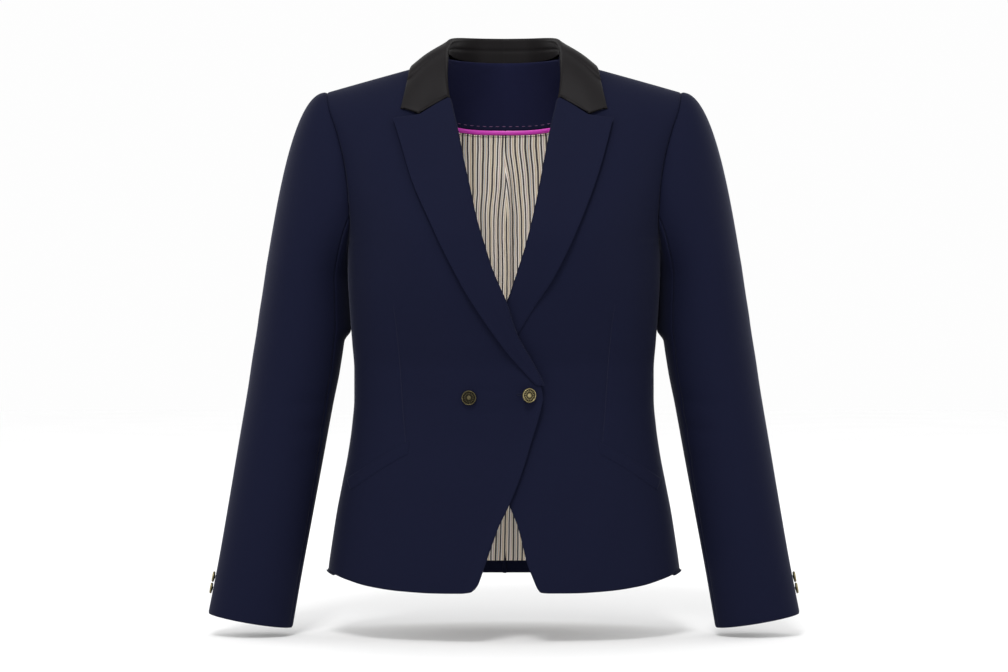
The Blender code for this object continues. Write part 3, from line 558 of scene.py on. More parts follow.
    def meet(self, face: Face, track: Track, rise: Array) -> Array:
        """Turns at which a seam line crosses each rise.

        Args:
            face: Front or back.
            track: The seam's own x by height.
            rise: The rises.

        Returns:
            One turn a rise.
        """
        rise = np.asarray(rise, float)
        base = self.fullest_z(face)
        x = np.zeros_like(rise) + track(base)
        z = np.zeros_like(rise) + base
        lifted = np.sin(np.maximum(rise, 0) * math.pi / 2)
        for _ in range(30):
            p, _q = self.roundings(face, x)
            h = self.uneased(face, x, lifted ** (2 / p))
            z = base + np.minimum(rise, 0) + h * (self.shoulder_z(x) - base)
            x = 0.5 * x + 0.5 * track(z)
        return self.turn_of(x, z)

    def rise_at(self, face: Face, x: Reals, z: Reals) -> Array:
        """Rise of a point of the form.

        Args:
            face: Front or back.
            x: Distance from the middle.
            z: Height.

        Returns:
            Millimetres under the fullest level, or 0 to 1 above it.
        """
        p, _q = self.roundings(face, x)
        base = self.fullest_z(face)
        h = np.clip((z - base) / (self.shoulder_z(x) - base), 0, 1)
        angle = np.arcsin(np.minimum(self.eased(face, x, h), 1) ** (p / 2))
        return np.where(z < base, z - base, angle / (math.pi / 2))

    def column_points(self, face: Face, x: Array, rise: Array) -> Array:
        """Form points at given x, by rise above the fullest level.

        Args:
            face: Front or back.
            x: Distances from the middle.
            rise: 0 to 1.

        Returns:
            The points.
        """
        p, q = self.roundings(face, x)
        base = self.fullest_z(face)
        angle = np.clip(rise, 0, 1) * math.pi / 2
        z = base + self.uneased(face, x, np.sin(angle) ** (2 / p)) * (self.shoulder_z(x) - base)
        share = np.cos(angle) ** (2 / q)
        depth = self.depth[face](z) * self.ring_share(x, z)
        y = self.shoulder_seam_y * (1 - share) + face.value * depth * share
        return np.stack([x, y, z], axis=-1)


def normals_of(grid: Array) -> Array:
    """Unit normals of a grid of points, by its rows and columns."""
    return unit(np.cross(np.gradient(grid, axis=1), np.gradient(grid, axis=0)))


def arc(grid: Array, axis: int) -> Array:
    """Running length over a grid, along one of its axes."""
    steps = np.linalg.norm(np.diff(grid, axis=axis), axis=-1)
    pad = [(1, 0), (0, 0)] if axis == 0 else [(0, 0), (1, 0)]
    return np.cumsum(np.pad(steps, pad), axis=axis)


def edged(count: int, near: float) -> Array:
    """Shares from 0 to 1: count rows, and close ones over the share near, along both ends."""
    close = near * np.array([0.0, 0.22, 0.5, 0.8])
    return np.concatenate([close, np.linspace(near * 1.2, 1 - near * 1.2, count), 1 - close[::-1]])


def rises(count: int) -> Array:
    """Rises from the fullest level, left out, to the shoulder seam, close together under the seam."""
    return np.concatenate([np.linspace(0, 0.975, count)[1:], [0.985, 0.992, 0.997, 1.0]])


def troughs(a: Array, b: Array, creases: Sequence[Crease]) -> Array:
    """How far the creases sink a piece.

    Args:
        a: First coordinate of each point.
        b: Second coordinate of each point.
        creases: The creases, in the same two directions.

    Returns:
        The depth at each point.
    """
    depth = np.zeros(np.broadcast(a, b).shape)
    for crease in creases:
        run = np.array(crease.end) - np.array(crease.start)
        length = float(np.linalg.norm(run))
        run = run / length
        off = np.stack([a - crease.start[0], b - crease.start[1]], axis=-1)
        along = (off @ run) / length
        across = off[..., 0] * run[1] - off[..., 1] * run[0]
        window = smooth(along / CREASE_FADE) * smooth((1 - along) / CREASE_FADE)
        depth += crease.depth * bell(across, crease.width) * window
    return depth


@dataclass
class Cut:
    """The flat size that a piece was cut to, in metres, and how the cloth is held."""

    width: float
    length: float
    area: float
    hold: Hold = Hold.HUNG


@dataclass
class ClothPanel:
    """A panel of cloth from a grid of points: its right side out, edges turned in, walls closed."""

    name: str
    grid: Array
    right_side_is_cross: bool
    thickness: float
    edge_drop: float = 0.7
    edge_width: float = 1.3
    turned: tuple[bool, bool, bool, bool] = (True, True, True, True)
    allowance: tuple[float, float, float, float] = (0.0, 0.0, 0.0, 0.0)
    allowance_drop: float = 0.6
    allowance_step: float = 0.3
    steadied: int = 5

    def turned_in(self) -> Array:
        """Sinks the grid's edges, so that a seam or a turned edge rounds over.

        Returns:
            The grid with its edges sunk.
        """
        out = normals_of(self.grid) * (1.0 if self.right_side_is_cross else -1.0)
        across, up = arc(self.grid, 1), arc(self.grid, 0)
        ends = (up, up[-1] - up, across, across[:, -1:] - across)
        sink = np.zeros(self.grid.shape[:2])
        for distance, on in zip(ends, self.turned):
            if on:
                sink = np.maximum(sink, bell(distance, self.edge_width))
        grid = self.grid - out * (self.edge_drop * sink)[..., None]
        for side, width in enumerate(self.allowance):
            if width:
                grid, out = self.with_allowance(grid, out, side, width)
        return grid

    def with_allowance(self, grid: Array, out: Array, side: int, width: float) -> tuple[Array, Array]:
        """Adds the seam allowance of one edge, sunk under the panel that it is sewn to.

        Args:
            grid: The panel's points.
            out: Their directions outward.
            side: Which edge: 0 first row, 1 last row, 2 first column, 3 last column.
            width: Width of the allowance.

        Returns:
            The longer grid and its directions.
        """
        axis, last = (0, 0, 1, 1)[side], side % 2 == 1
        grid, out = np.moveaxis(grid, axis, 0), np.moveaxis(out, axis, 0)
        if last:
            grid, out = grid[::-1], out[::-1]
        away, down, ends = unit(grid[0] - grid[3]), out[0].copy(), self.steadied
        for steady in (away, down):
            steady[:ends], steady[-ends:] = steady[ends], steady[-ends - 1]
        steps = ((width, self.thickness + self.allowance_drop), (self.allowance_step, self.thickness))
        sunk = [grid[0] + away * reach - down * drop for reach, drop in steps]
        grid = np.concatenate([np.array(sunk), grid])
        out = np.concatenate([np.array([out[0], out[0]]), out])
        if last:
            grid, out = grid[::-1], out[::-1]
        return np.moveaxis(grid, 0, axis), np.moveaxis(out, 0, axis)

    def build(self) -> Object:
        """Makes the panel's closed wall with a UV map in metres along its threads.

        Returns:
            The finished object.
        """
        points = self.turned_in()
        rows, columns = points.shape[:2]
        index = np.arange(rows * columns).reshape(rows, columns)
        a, b = index[:-1, :-1], index[:-1, 1:]
        c, d = index[1:, 1:], index[1:, :-1]
        order = (a, b, c, d) if self.right_side_is_cross else (a, d, c, b)
        faces = np.stack(order, axis=-1).reshape(-1, 4)
        mesh = bpy.data.meshes.new(self.name)
        mesh.from_pydata((points * MM).reshape(-1, 3), [], faces.tolist())
        middle = columns // 2
        u = arc(points, 1)
        u = (u - u[:, middle : middle + 1]).reshape(-1)
        v = np.repeat(arc(points, 0)[:, middle], columns)
        flat = np.stack([u, v], axis=-1)[faces.reshape(-1)] * MM
        mesh.uv_layers.new(name="threads").data.foreach_set("uv", flat.astype(np.float32).reshape(-1))
        mesh.update()
        made = in_scene(self.name, mesh)
        wall = made.modifiers.new("Thickness", "SOLIDIFY")
        wall.thickness = self.thickness * MM
        wall.offset = -1.0
        wall.use_even_offset = False
        wall.use_quality_normals = False
        settle(made)
        return made


def in_scene(name: str, data: bpy.types.ID) -> Object:
    """A new object in the scene."""
    made = bpy.data.objects.new(name, data)
    bpy.context.scene.collection.objects.link(made)
    return made


def shade(mesh: bpy.types.Mesh, sharp: float) -> None:
    """Shades a mesh smooth, except where its faces meet at more than so many degrees."""
    mesh.polygons.foreach_set("use_smooth", np.ones(len(mesh.polygons), bool))
    mesh.set_sharp_from_angle(angle=math.radians(sharp))


def settle(obj: Object) -> None:
    """Makes a piece's modifiers part of its mesh, smooth except at sharp edges.

    Args:
        obj: The piece.
    """
    graph = bpy.context.evaluated_depsgraph_get()
    mesh = bpy.data.meshes.new_from_object(obj.evaluated_get(graph), depsgraph=graph)
    obj.modifiers.clear()
    obj.data = mesh
    shade(mesh, 48)


def one_side_area(obj: Object) -> float:
    """Half the area of a thin closed piece, in square metres."""
    return sum(face.area for face in obj.data.polygons) / 2


def dress(
    obj: Object,
    look: Material,
    nodes: Sequence[str] = (),
) -> Object:
    """Gives a finished piece its material and places it in the frame.

    Args:
        obj: The piece.
        look: Its finish.
        nodes: The solids that it stands for.

    Returns:
        The same piece.
    """
    obj.data.materials.clear()
    obj.data.materials.append(look)
    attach(obj, "root")
    if nodes:
        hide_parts(*nodes)
    log.info("%s: %d faces, %.4f m2 a side", obj.name, len(obj.data.polygons), one_side_area(obj))
    return obj


def side_panel(
    side: Side, base: str, grid: Array, faces_out_on: Side, thickness: float, **rest: object
) -> ClothPanel:
    """One side's panel from a grid in own x; faces_out_on is the side whose crossed rows face out."""
    return ClothPanel(f"{side.named(base)}_cloth", side.turn(grid), side is faces_out_on, thickness, **rest)


def sew(panel: ClothPanel, look: Material, node: str = "") -> None:
    """Makes a cloth panel and dresses it; node is its solid, where the panel's name doesn't say so."""
    dress(panel.build(), look, [node or panel.name.removesuffix("_cloth")])


@dataclass
class FrontPanels:
    """The two fronts: the right one laps over the left. Darts and the soft creases are here."""

    form: BlazerForm
    side_hem_z: float = -582.0
    corner_z: float = -590.7
    columns: int = 100
    fine: int = 12
    crowding: float = 1.05
    hem_rows: int = 3
    hem_curve: float = 1.5
    shoulder_tuck: float = 0.55
    edge_rise: float = 3.0
    edge_rise_width: float = 7.0
    edge_rises_under: float = -384.0
    edge_rise_fade: float = 16.0
    dart_depth: float = 0.95
    dart_width: float = 1.5
    dart_fades: tuple[float, float] = (22.0, 16.0)
    hollow_depth: float = 0.7
    hollow_width: float = 13.0
    dart: tuple[Mark, ...] = (
        Mark(-283.0, 122.2),
        Mark(-342.0, 116.5),
        Mark(-403.0, 112.3),
        Mark(-441.0, 108.6),
    )
    creases: tuple[Crease, ...] = (
        Crease((168.0, -150.0), (163.0, -350.0), 1.5, 13.0),
        Crease((150.0, -230.0), (140.0, -330.0), -0.7, 12.0),
        Crease((60.0, -250.0), (52.0, -360.0), 0.7, 20.0),
        Crease((70.0, -470.0), (62.0, -590.0), 0.8, 22.0),
        Crease((132.0, -480.0), (140.0, -586.0), 0.9, 18.0),
        Crease((104.0, -500.0), (106.0, -590.0), -0.7, 16.0),
        Crease((150.0, -60.0), (172.0, -150.0), 0.8, 12.0),
    )
    button_pulls: tuple[Crease, ...] = (
        Crease((-22.0, -384.0), (52.0, -372.0), 0.45, 5.5),
        Crease((-20.0, -392.0), (46.0, -410.0), 0.4, 6.0),
        Crease((44.0, -389.0), (118.0, -384.0), 0.4, 6.5),
    )

    def grid(self, over: bool) -> Array:
        """A front in its own x: rows from hem to shoulder seam, columns from edge to side seam.

        Args:
            over: Whether this is the front that laps over.

        Returns:
            The grid of points.
        """
        form = self.form
        edge = form.over_edge if over else form.under_edge
        share = edged(self.columns, 0.014) ** self.crowding
        lower = len(FRONT_ROWS) - 1
        steps = np.concatenate([[0.0, 0.03, 0.07, 0.12], np.linspace(0.2, lower, lower * self.fine)])
        left_z = np.interp(steps, np.arange(lower + 1), FRONT_ROWS)[:, None]
        up = (left_z - self.corner_z) / (form.bust_z - self.corner_z)
        turn = lerp(form.turn_of(edge(left_z), left_z), 0.0, share)
        rise = lerp(left_z, lerp(self.side_hem_z, form.bust_z, up), share) - form.bust_z
        x = form.points(Face.FRONT, turn, rise)[..., 0]
        hem = np.clip(1 - steps[:, None] / self.hem_rows, 0, 1) ** self.hem_curve
        rise = rise + (form.front_hem(x) - form.bust_z - rise) * hem
        high = rises(80)
        left = form.meet(Face.FRONT, edge, high)[:, None]
        right = form.meet(Face.FRONT, form.armhole[Face.FRONT], high)[:, None]
        turn = np.concatenate([turn, lerp(left, right, share)])
        rise = np.concatenate([rise, np.broadcast_to(high[:, None], (len(high), len(share)))])
        grid = form.points(Face.FRONT, turn, rise)
        x, z = grid[..., 0].copy(), grid[..., 2].copy()
        depth = self.dart_sink(x, z) + troughs(x, z, self.creases)
        if over:
            depth = depth + troughs(x, z, self.button_pulls)
            grid[..., 1] -= form.lap(x, z)
            lifted = smooth((self.edge_rises_under - z) / self.edge_rise_fade)
            grid[..., 1] -= self.edge_rise * bell(x - edge(z), self.edge_rise_width) * lifted
        grid[..., 1] -= form.seam_gap + self.shoulder_tuck * smooth((rise - 0.965) / 0.035)
        return grid - form.outward(Face.FRONT, x, z) * depth[..., None]

    def dart_sink(self, x: Array, z: Array) -> Array:
        """Depth of the waist dart's seam and of the hollow beside it.

        Args:
            x: Own x.
            z: Height.

        Returns:
            The depth at each point.
        """
        off = x - column(self.dart, "x")(z)
        groove = self.dart_depth * bell(off, self.dart_width)
        return (groove + self.hollow_depth * bell(off, self.hollow_width)) * self.dart_window(z)

    def dart_window(self, z: Array) -> Array:
        """Where along its length the dart is sewn in full, fading out at its two ends."""
        high, low = self.dart_fades
        return smooth((self.dart[0].z - z) / high) * smooth((z - self.dart[-1].z) / low)

    def build(self, look: Material) -> None:
        """Makes both fronts.

        Args:
            look: The navy cloth.
        """
        seams = (0.0, 3.0, 0.0, 4.0)
        for side in (Side.RIGHT, Side.LEFT):
            grid = self.grid(side is Side.RIGHT)
            sew(side_panel(side, "front", grid, Side.LEFT, self.form.cloth, allowance=seams), look)


@dataclass
class BackPanels:
    """The two backs, joined by the centre seam."""

    form: BlazerForm
    hem_z: float = -598.0
    side_hem_z: float = -582.0
    lower: int = 13
    fine: int = 13
    columns: int = 76
    side_pace: float = 1.17
    creases: tuple[Crease, ...] = (
        Crease((160.0, -120.0), (150.0, -300.0), 2.0, 13.0),
        Crease((128.0, -140.0), (118.0, -290.0), -1.0, 13.0),
        Crease((30.0, -372.0), (150.0, -392.0), 1.4, 9.0),
        Crease((24.0, -400.0), (118.0, -412.0), 1.0, 8.0),
        Crease((40.0, -352.0), (140.0, -356.0), -0.7, 8.0),
        Crease((60.0, -460.0), (72.0, -592.0), 1.2, 20.0),
        Crease((110.0, -470.0), (124.0, -590.0), 1.4, 22.0),
        Crease((88.0, -480.0), (98.0, -592.0), -1.0, 18.0),
        Crease((70.0, -40.0), (150.0, -62.0), 0.8, 9.0),
    )

    def half(
        self, top: "EdgeLine", hem_z: float, columns: int, fine: int, short: float = 0.0
    ) -> Array:
        """A half back from the middle to the side seam, up to its top edge or the shoulder seam.

        Args:
            top: The upper edge that the piece stops at.
            hem_z: Height of its hem in the middle.
            columns: Close columns across it.
            fine: Rows to one of the solid's rows.
            short: How far the outer columns stop before the side, in turn.

        Returns:
            The grid of points, in own x.
        """
        form = self.form
        end = float(form.turn_of(form.shoulder_point.x, form.shoulder_point.z))
        corner = float(form.turn_of(top.meets_x, form.shoulder_z(top.meets_x)))
        corner_share = (math.pi / 2 - corner) / (math.pi / 2 - end)
        inner = max(12, round(columns * corner_share))
        run = 1 - (1 - np.linspace(0, 1, inner + 1)) ** 1.3
        bends = np.linspace(corner_share, 1, columns - inner + 1)[1:-1]
        outer = [0.988, 0.994, 0.997, 1.0]
        share = np.unique(np.concatenate([[0.0, 0.003, 0.007], corner_share * run[1:], bends, outer]))
        t = np.concatenate([[0.0, 0.002, 0.005], np.linspace(0, 1, self.lower * fine + 1)[1:]])[:, None]
        up = t * self.side_pace
        side_z = lerp(hem_z + self.side_hem_z - self.hem_z, form.bust_z, np.minimum(up, 1.0))
        above = lerp(form.bust_z, form.blade_z, (up - 1.0) / (self.side_pace - 1))
        side_z = np.where(up > 1.0, above, side_z)
        right = form.turn_of(form.armhole[Face.BACK](side_z), side_z)
        right = np.where(side_z <= form.bust_z, 0.0, right)
        curve = share ** lerp(2.0, 1.0, t)
        turn = lerp(math.pi / 2, right, share)
        rise = lerp(lerp(hem_z, form.blade_z, t), side_z, curve) - form.blade_z
        high = rises(60)
        right = form.meet(Face.BACK, form.armhole[Face.BACK], high)[:, None]
        turn = np.concatenate([turn, lerp(math.pi / 2, right, share)]) + short * share
        rise = np.concatenate([rise, np.broadcast_to(high[:, None], (len(high), len(share)))])
        limit = np.ones_like(rise)
        for _ in range(6):
            x = form.points(Face.BACK, turn, np.where(rise > 0, limit, rise))[..., 0]
            limit = top.rise(form, x)
        grid = form.points(Face.BACK, turn, np.where(rise > 0, rise * limit, rise))
        grid[..., 1] += form.seam_gap
        return grid

    def build(self, look: Material) -> None:
        """Makes both backs.

        Args:
            look: The navy cloth.
        """
        form = self.form
        grid = self.half(EdgeLine.neckline(form), self.hem_z, self.columns, self.fine)
        x, z = grid[..., 0], grid[..., 2]
        out = form.outward(Face.BACK, x, np.minimum(z, form.shoulder_z(x) - 1))
        grid = grid - out * troughs(x, z, self.creases)[..., None]
        middle = 0.15 + 0.4 * smooth((grid[..., 2] + 100) / 60)
        grid[..., 0] = np.maximum(grid[..., 0], middle)
        for side in Side:
            seams = (0.0, 0.0, 3.0 if side is Side.RIGHT else 0.0, 4.5)
            sew(side_panel(side, "back", grid, Side.RIGHT, form.cloth, allowance=seams), look)


@dataclass
class EdgeLine:
    """A line across the back, by height: the neck seam, the facing's lower edge, the lining's top."""

    middle_z: float
    climb: float
    half_span: float
    power: float
    below: float
    meets_x: float

    @classmethod
    def neckline(cls, form: BlazerForm) -> "EdgeLine":
        """The back neck seam."""
        return cls(-1.0, 2.2, form.neck_half_width, 2.0, 0.0, form.neck_half_width)

    @classmethod
    def facing(cls) -> "EdgeLine":
        """The lower edge of the back neck facing, where the piping lies."""
        return cls(-74.5, 50.0, 125.0, 3.2, 0.0, 128.0)

    @classmethod
    def lining_top(cls, piping_height: float) -> "EdgeLine":
        """The lining's upper edge, under the piping."""
        return cls(-74.5, 50.0, 125.0, 3.2, piping_height + 1.7, 131.0)

    def slope(self, x: Array) -> Array:
        """Slope of the line at x."""
        power = self.power
        return self.climb * power / self.half_span * np.sign(x) * (np.abs(x) / self.half_span) ** (power - 1)

    def z(self, x: Array) -> Array:
        """Height of the line at x."""
        line = self.middle_z + self.climb * (np.abs(x) / self.half_span) ** self.power
        return line - self.below * np.sqrt(1 + self.slope(x) ** 2)

    def rise(self, form: BlazerForm, x: Array) -> Array:
        """Rise of the line at x, or 1 where the piece runs up to the shoulder seam."""
        inside = form.rise_at(Face.BACK, x, np.minimum(self.z(x), form.shoulder_z(x)))
        return np.where(np.abs(x) >= self.meets_x - 0.5, 1.0, np.clip(inside, 0.0, 1.0))


@dataclass
class Sleeves:
    """Two-piece sleeves from the armhole to the cuff, with their elbow creases."""

    form: BlazerForm
    tilt: float = math.radians(9.8)
    caps: int = 56
    rings: int = 120
    columns: tuple[int, int] = (70, 56)
    underarm_share: float = 0.56
    underarm_spread: float = 0.10
    underarm_low: float = 324.0
    underarm_push: float = 7.5
    girth: float = 340.0
    armhole_centre: tuple[float, float, float] = (190.0, 4.0, -128.0)
    cap_leaves: float = 0.55
    cap_arrives: float = 0.95
    creases: tuple[Crease, ...] = (
        Crease((0.20, -398.0), (0.50, -376.0), 0.9, 8.0),
        Crease((0.24, -424.0), (0.52, -410.0), 1.2, 8.0),
        Crease((0.28, -452.0), (0.50, -446.0), 0.8, 9.0),
        Crease((0.56, -398.0), (0.82, -410.0), 0.9, 9.0),
        Crease((0.58, -436.0), (0.84, -440.0), 0.8, 8.0),
        Crease((0.30, -540.0), (0.46, -566.0), 0.6, 10.0),
        Crease((0.60, -300.0), (0.80, -280.0), 1.0, 10.0),
    )

    def __post_init__(self) -> None:
        """Works out the sleeve's own directions and smooth lines."""
        self.axis = np.array([math.sin(self.tilt), 0.0, -math.cos(self.tilt)])
        self.across = np.array([math.cos(self.tilt), 0.0, math.sin(self.tilt)])
        self.top_z, self.cuff_z = SLEEVE_RINGS[0].z, SLEEVE_RINGS[-1].z
        self.tracks = {name: column(SLEEVE_RINGS, name) for name in Ring._fields[1:]}
        self.loop, self.loop_share = self.armhole()

    def armhole(self) -> tuple[Array, Array]:
        """The armhole from the shoulder point down the front and up the back.

        Returns:
            Its points, and the share of the way round at each.
        """
        form = self.form
        halves = []
        for face in Face:
            lows = np.linspace(form.bust_z, form.blade_z, 14) - form.blade_z
            rises = np.concatenate([lows if face is Face.BACK else [], np.linspace(0, 1, 28)])
            turn = form.meet(face, form.armhole[face], rises)
            turn[0] = 0.0
            halves.append(form.points(face, turn, rises))
        loop = np.concatenate([halves[0][::-1], halves[1][1:]])
        run = np.concatenate([[0], np.cumsum(np.linalg.norm(np.diff(loop, axis=0), axis=1))])
        low = int(np.argmin(loop[:, 2]))
        down = 0.5 * run / run[low]
        up = 0.5 + 0.5 * (run - run[low]) / (run[-1] - run[low])
        return loop, np.where(run <= run[low], down, up)

    def ring(self, z: Array, share: Array) -> Array:
        """Points of the sleeve's ring: share 0 outside, a quarter front.

        Args:
            z: Height of the ring's centre.
            share: How far round.

        Returns:
            The points, in own x.
        """
        z, share = np.broadcast_arrays(np.asarray(z, float), np.asarray(share, float))
        angle = share * 2 * math.pi
        centre = np.stack([self.tracks["x"](z), self.tracks["y"](z), z], axis=-1)
        wide = (self.tracks["half_width"](z) * np.cos(angle))[..., None]
        deep = (-self.tracks["half_depth"](z) * np.sin(angle))[..., None]
        return centre + wide * self.across + deep * np.array([0.0, 1.0, 0.0])

    def cap(self, share: Array, c: Array) -> Array:
        """Points between the armhole and the first full ring.

        Args:
            share: How far round.
            c: 0 at the armhole, 1 at the ring.

        Returns:
            The points, in own x.
        """
        start = np.stack([np.interp(share % 1.0, self.loop_share, self.loop[:, i]) for i in range(3)], -1)
        spoke = start - np.array(self.armhole_centre)
        spoke[..., 0] = 0
        spoke = unit(spoke)
        up = 0.5 + 0.5 * np.cos(share * 2 * math.pi)
        leave = lerp(1.0, 0.10, up**0.8)[..., None] * spoke
        leave[..., 0] += lerp(0.12, 1.0, up**0.6)
        start = start + 0.35 * spoke
        start[..., 0] += lerp(-1.6, 0.2, up)
        end = self.ring(self.top_z, share)
        span = np.linalg.norm(end - start, axis=-1, keepdims=True)
        leave = unit(leave) * span * self.cap_leaves
        return hermite(c[..., None], start, leave, end, self.axis * span * self.cap_arrives)

    def seams(self, fall: Array) -> tuple[Array, Array]:
        """Where the front and back sleeve seams lie round the sleeve, by how far down."""
        return lerp(0.370, 0.455, smooth(fall)), lerp(0.700, 0.968, smooth(fall * 1.05))

    def grid(self, piece: SleevePiece) -> Array:
        """A sleeve piece, rows from armhole to cuff.

        Args:
            piece: Top or under sleeve.

        Returns:
            The grid of points, in own x.
        """
        c = np.concatenate([[0.0, 0.006, 0.014, 0.024], np.linspace(0.036, 1, self.caps)])
        down = np.concatenate([np.linspace(0, 0.988, self.rings)[1:], [0.992, 0.9955, 0.998, 1.0]])
        fall = np.concatenate([0.30 * c ** (1 / 1.15), 0.30 + 0.70 * down])
        front, back = self.seams(fall)
        gap = 1.4 * self.form.seam_gap / 300.0
        columns = self.columns[piece is SleevePiece.UNDER]
        spread = edged(columns, 0.018)
        if piece is SleevePiece.TOP:
            share = lerp((back - 1.0 + gap)[:, None], (front - gap)[:, None], spread)
        else:
            share = lerp((front + gap)[:, None], (back - gap)[:, None], spread)
        upper = self.cap(share[: len(c)], np.broadcast_to(c[:, None], share[: len(c)].shape))
        z = lerp(self.top_z, self.cuff_z, down)[:, None]
        grid = np.concatenate([upper, self.ring(z, share[len(c) :])])
        heights = np.concatenate([np.full(len(c), self.top_z + 200), z[:, 0]])[:, None]
        sink = troughs(share % 1.0 * self.girth, heights + 0 * share, self.scaled())
        out = normals_of(grid)
        grid = grid - out * sink[..., None]
        inner = bell(share % 1.0 - self.underarm_share, self.underarm_spread)
        z = grid[..., 2]
        window = smooth((-200.0 - z) / 26.0) * smooth((z + self.underarm_low) / 15.0)
        return grid - self.across * (self.underarm_push * inner * window)[..., None]

    def scaled(self) -> list[Crease]:
        """The creases with their shares round the sleeve turned into millimetres."""
        return [
            Crease((a[0] * self.girth, a[1]), (b[0] * self.girth, b[1]), depth, width)
            for a, b, depth, width in self.creases
        ]

    def build(self, look: Material) -> None:
        """Makes the four sleeve pieces.

        Args:
            look: The navy cloth.
        """
        for side in Side:
            for piece in SleevePiece:
                seam = 3.0 if piece is SleevePiece.TOP else 0.0
                seams, base = (5.0, 0.0, seam, seam), f"{piece.value}_sleeve"
                panel = side_panel(side, base, self.grid(piece), Side.LEFT, self.form.cloth, allowance=seams)
                sew(panel, look)


# The first column of a lapel or the collar is rolled under, so its edge isn't turned in.
ROLLED_IN = (True, True, False, True)


@dataclass
class Lapels:
    """The two peak lapels, turned out over the fronts along the roll line."""

    form: BlazerForm
    gorge_z: float = -50.0
    break_z: float = -372.0
    rows: int = 130
    leaf_columns: int = 48
    leaf_lift: float = 0.8
    edge_lift: float = 4.0

    def section(self, bulge: float) -> list[tuple[float, float, float]]:
        """One section across a lapel, from the turned-in strip outward.

        Args:
            bulge: How far the leaf stands off behind the roll.

        Returns:
            (distance from the roll line, share across the leaf, lift) of each point.
        """
        half, radius = self.form.cloth / 2, self.form.roll_radius
        points = [(d, 0.0, -half - radius) for d in np.linspace(9.0, 1.0, 6)]
        for angle in np.radians(np.linspace(-90, -270, 17)):
            points.append((radius * math.cos(angle), 0.0, -half + radius * math.sin(angle)))
        leaf = np.concatenate([np.linspace(0, 0.975, self.leaf_columns)[1:], [0.984, 0.99, 0.995, 1.0]])
        for t in leaf:
            rise = bulge * math.sin(math.pi * min(t * 2.6, 1.0) * 0.5) * (1 - t) ** 0.8
            lift = radius - half + rise + self.leaf_lift * t + self.edge_lift * t**3
            points.append((0.0, float(t), lift))
        return points

    def grid(self, edge: Track, outer: Sequence[Mark], over: bool, bulge: float, flat: float) -> Array:
        """A lapel: rows from the gorge seam down to the break.

        Args:
            edge: The front's edge, which the lapel turns round.
            outer: The lapel's own outer edge.
            over: Whether it lies on the front that laps over.
            bulge: How far the leaf stands off behind the roll.
            flat: Share of its length, from the break, over which it lies flat.

        Returns:
            The grid of points, in own x.
        """
        form = self.form
        run = np.cumsum([0.0] + [math.hypot(a.x - b.x, a.z - b.z) for a, b in zip(outer, outer[1:])])
        outer_x = Track(run / run[-1], [m.x for m in outer])
        outer_z = Track(run / run[-1], [m.z for m in outer])
        section = np.array(self.section(bulge))
        reach = outer[0].x - float(edge(self.gorge_z))
        slope = (LAPEL_NOTCH.x - float(edge(self.gorge_z))) / reach
        sink = lerp(self.gorge_z, outer[0].z, slope) - LAPEL_NOTCH.z
        s = np.concatenate([[0.0, 0.0025, 0.006], np.linspace(0.01, 1, self.rows)])[:, None]
        roll_z = lerp(self.gorge_z - 2 * form.seam_gap, self.break_z, s)
        distance, across, lift = section.T
        x = lerp(edge(roll_z), outer_x(s), across) + distance - 0.95
        z = lerp(roll_z, outer_z(s), across)
        dip = np.minimum(across / slope, (1 - across) / (1 - slope))
        z = z - sink * dip * (1 - np.minimum(1.0, s * 4)) ** 2
        level = form.roll_radius - form.cloth / 2
        lift = lerp(np.minimum(lift, level + 0.2), lift, smooth((1 - s - flat) / 0.2))
        return form.on_front(x, z, lift, over)

    def build(self, look: Material) -> None:
        """Makes both lapels.

        Args:
            look: The navy cloth.
        """
        form = self.form
        cases = (
            (Side.RIGHT, form.over_edge, OVER_LAPEL_EDGE, True, 3.2, 0.0),
            (Side.LEFT, form.under_edge, UNDER_LAPEL_EDGE, False, 2.4, 0.30),
        )
        for side, edge, outer, over, bulge, flat in cases:
            grid = self.grid(edge, outer, over, bulge, flat)
            edges = {"edge_width": 1.2, "turned": ROLLED_IN}
            sew(side_panel(side, "lapel", grid, Side.RIGHT, form.cloth, **edges), look)


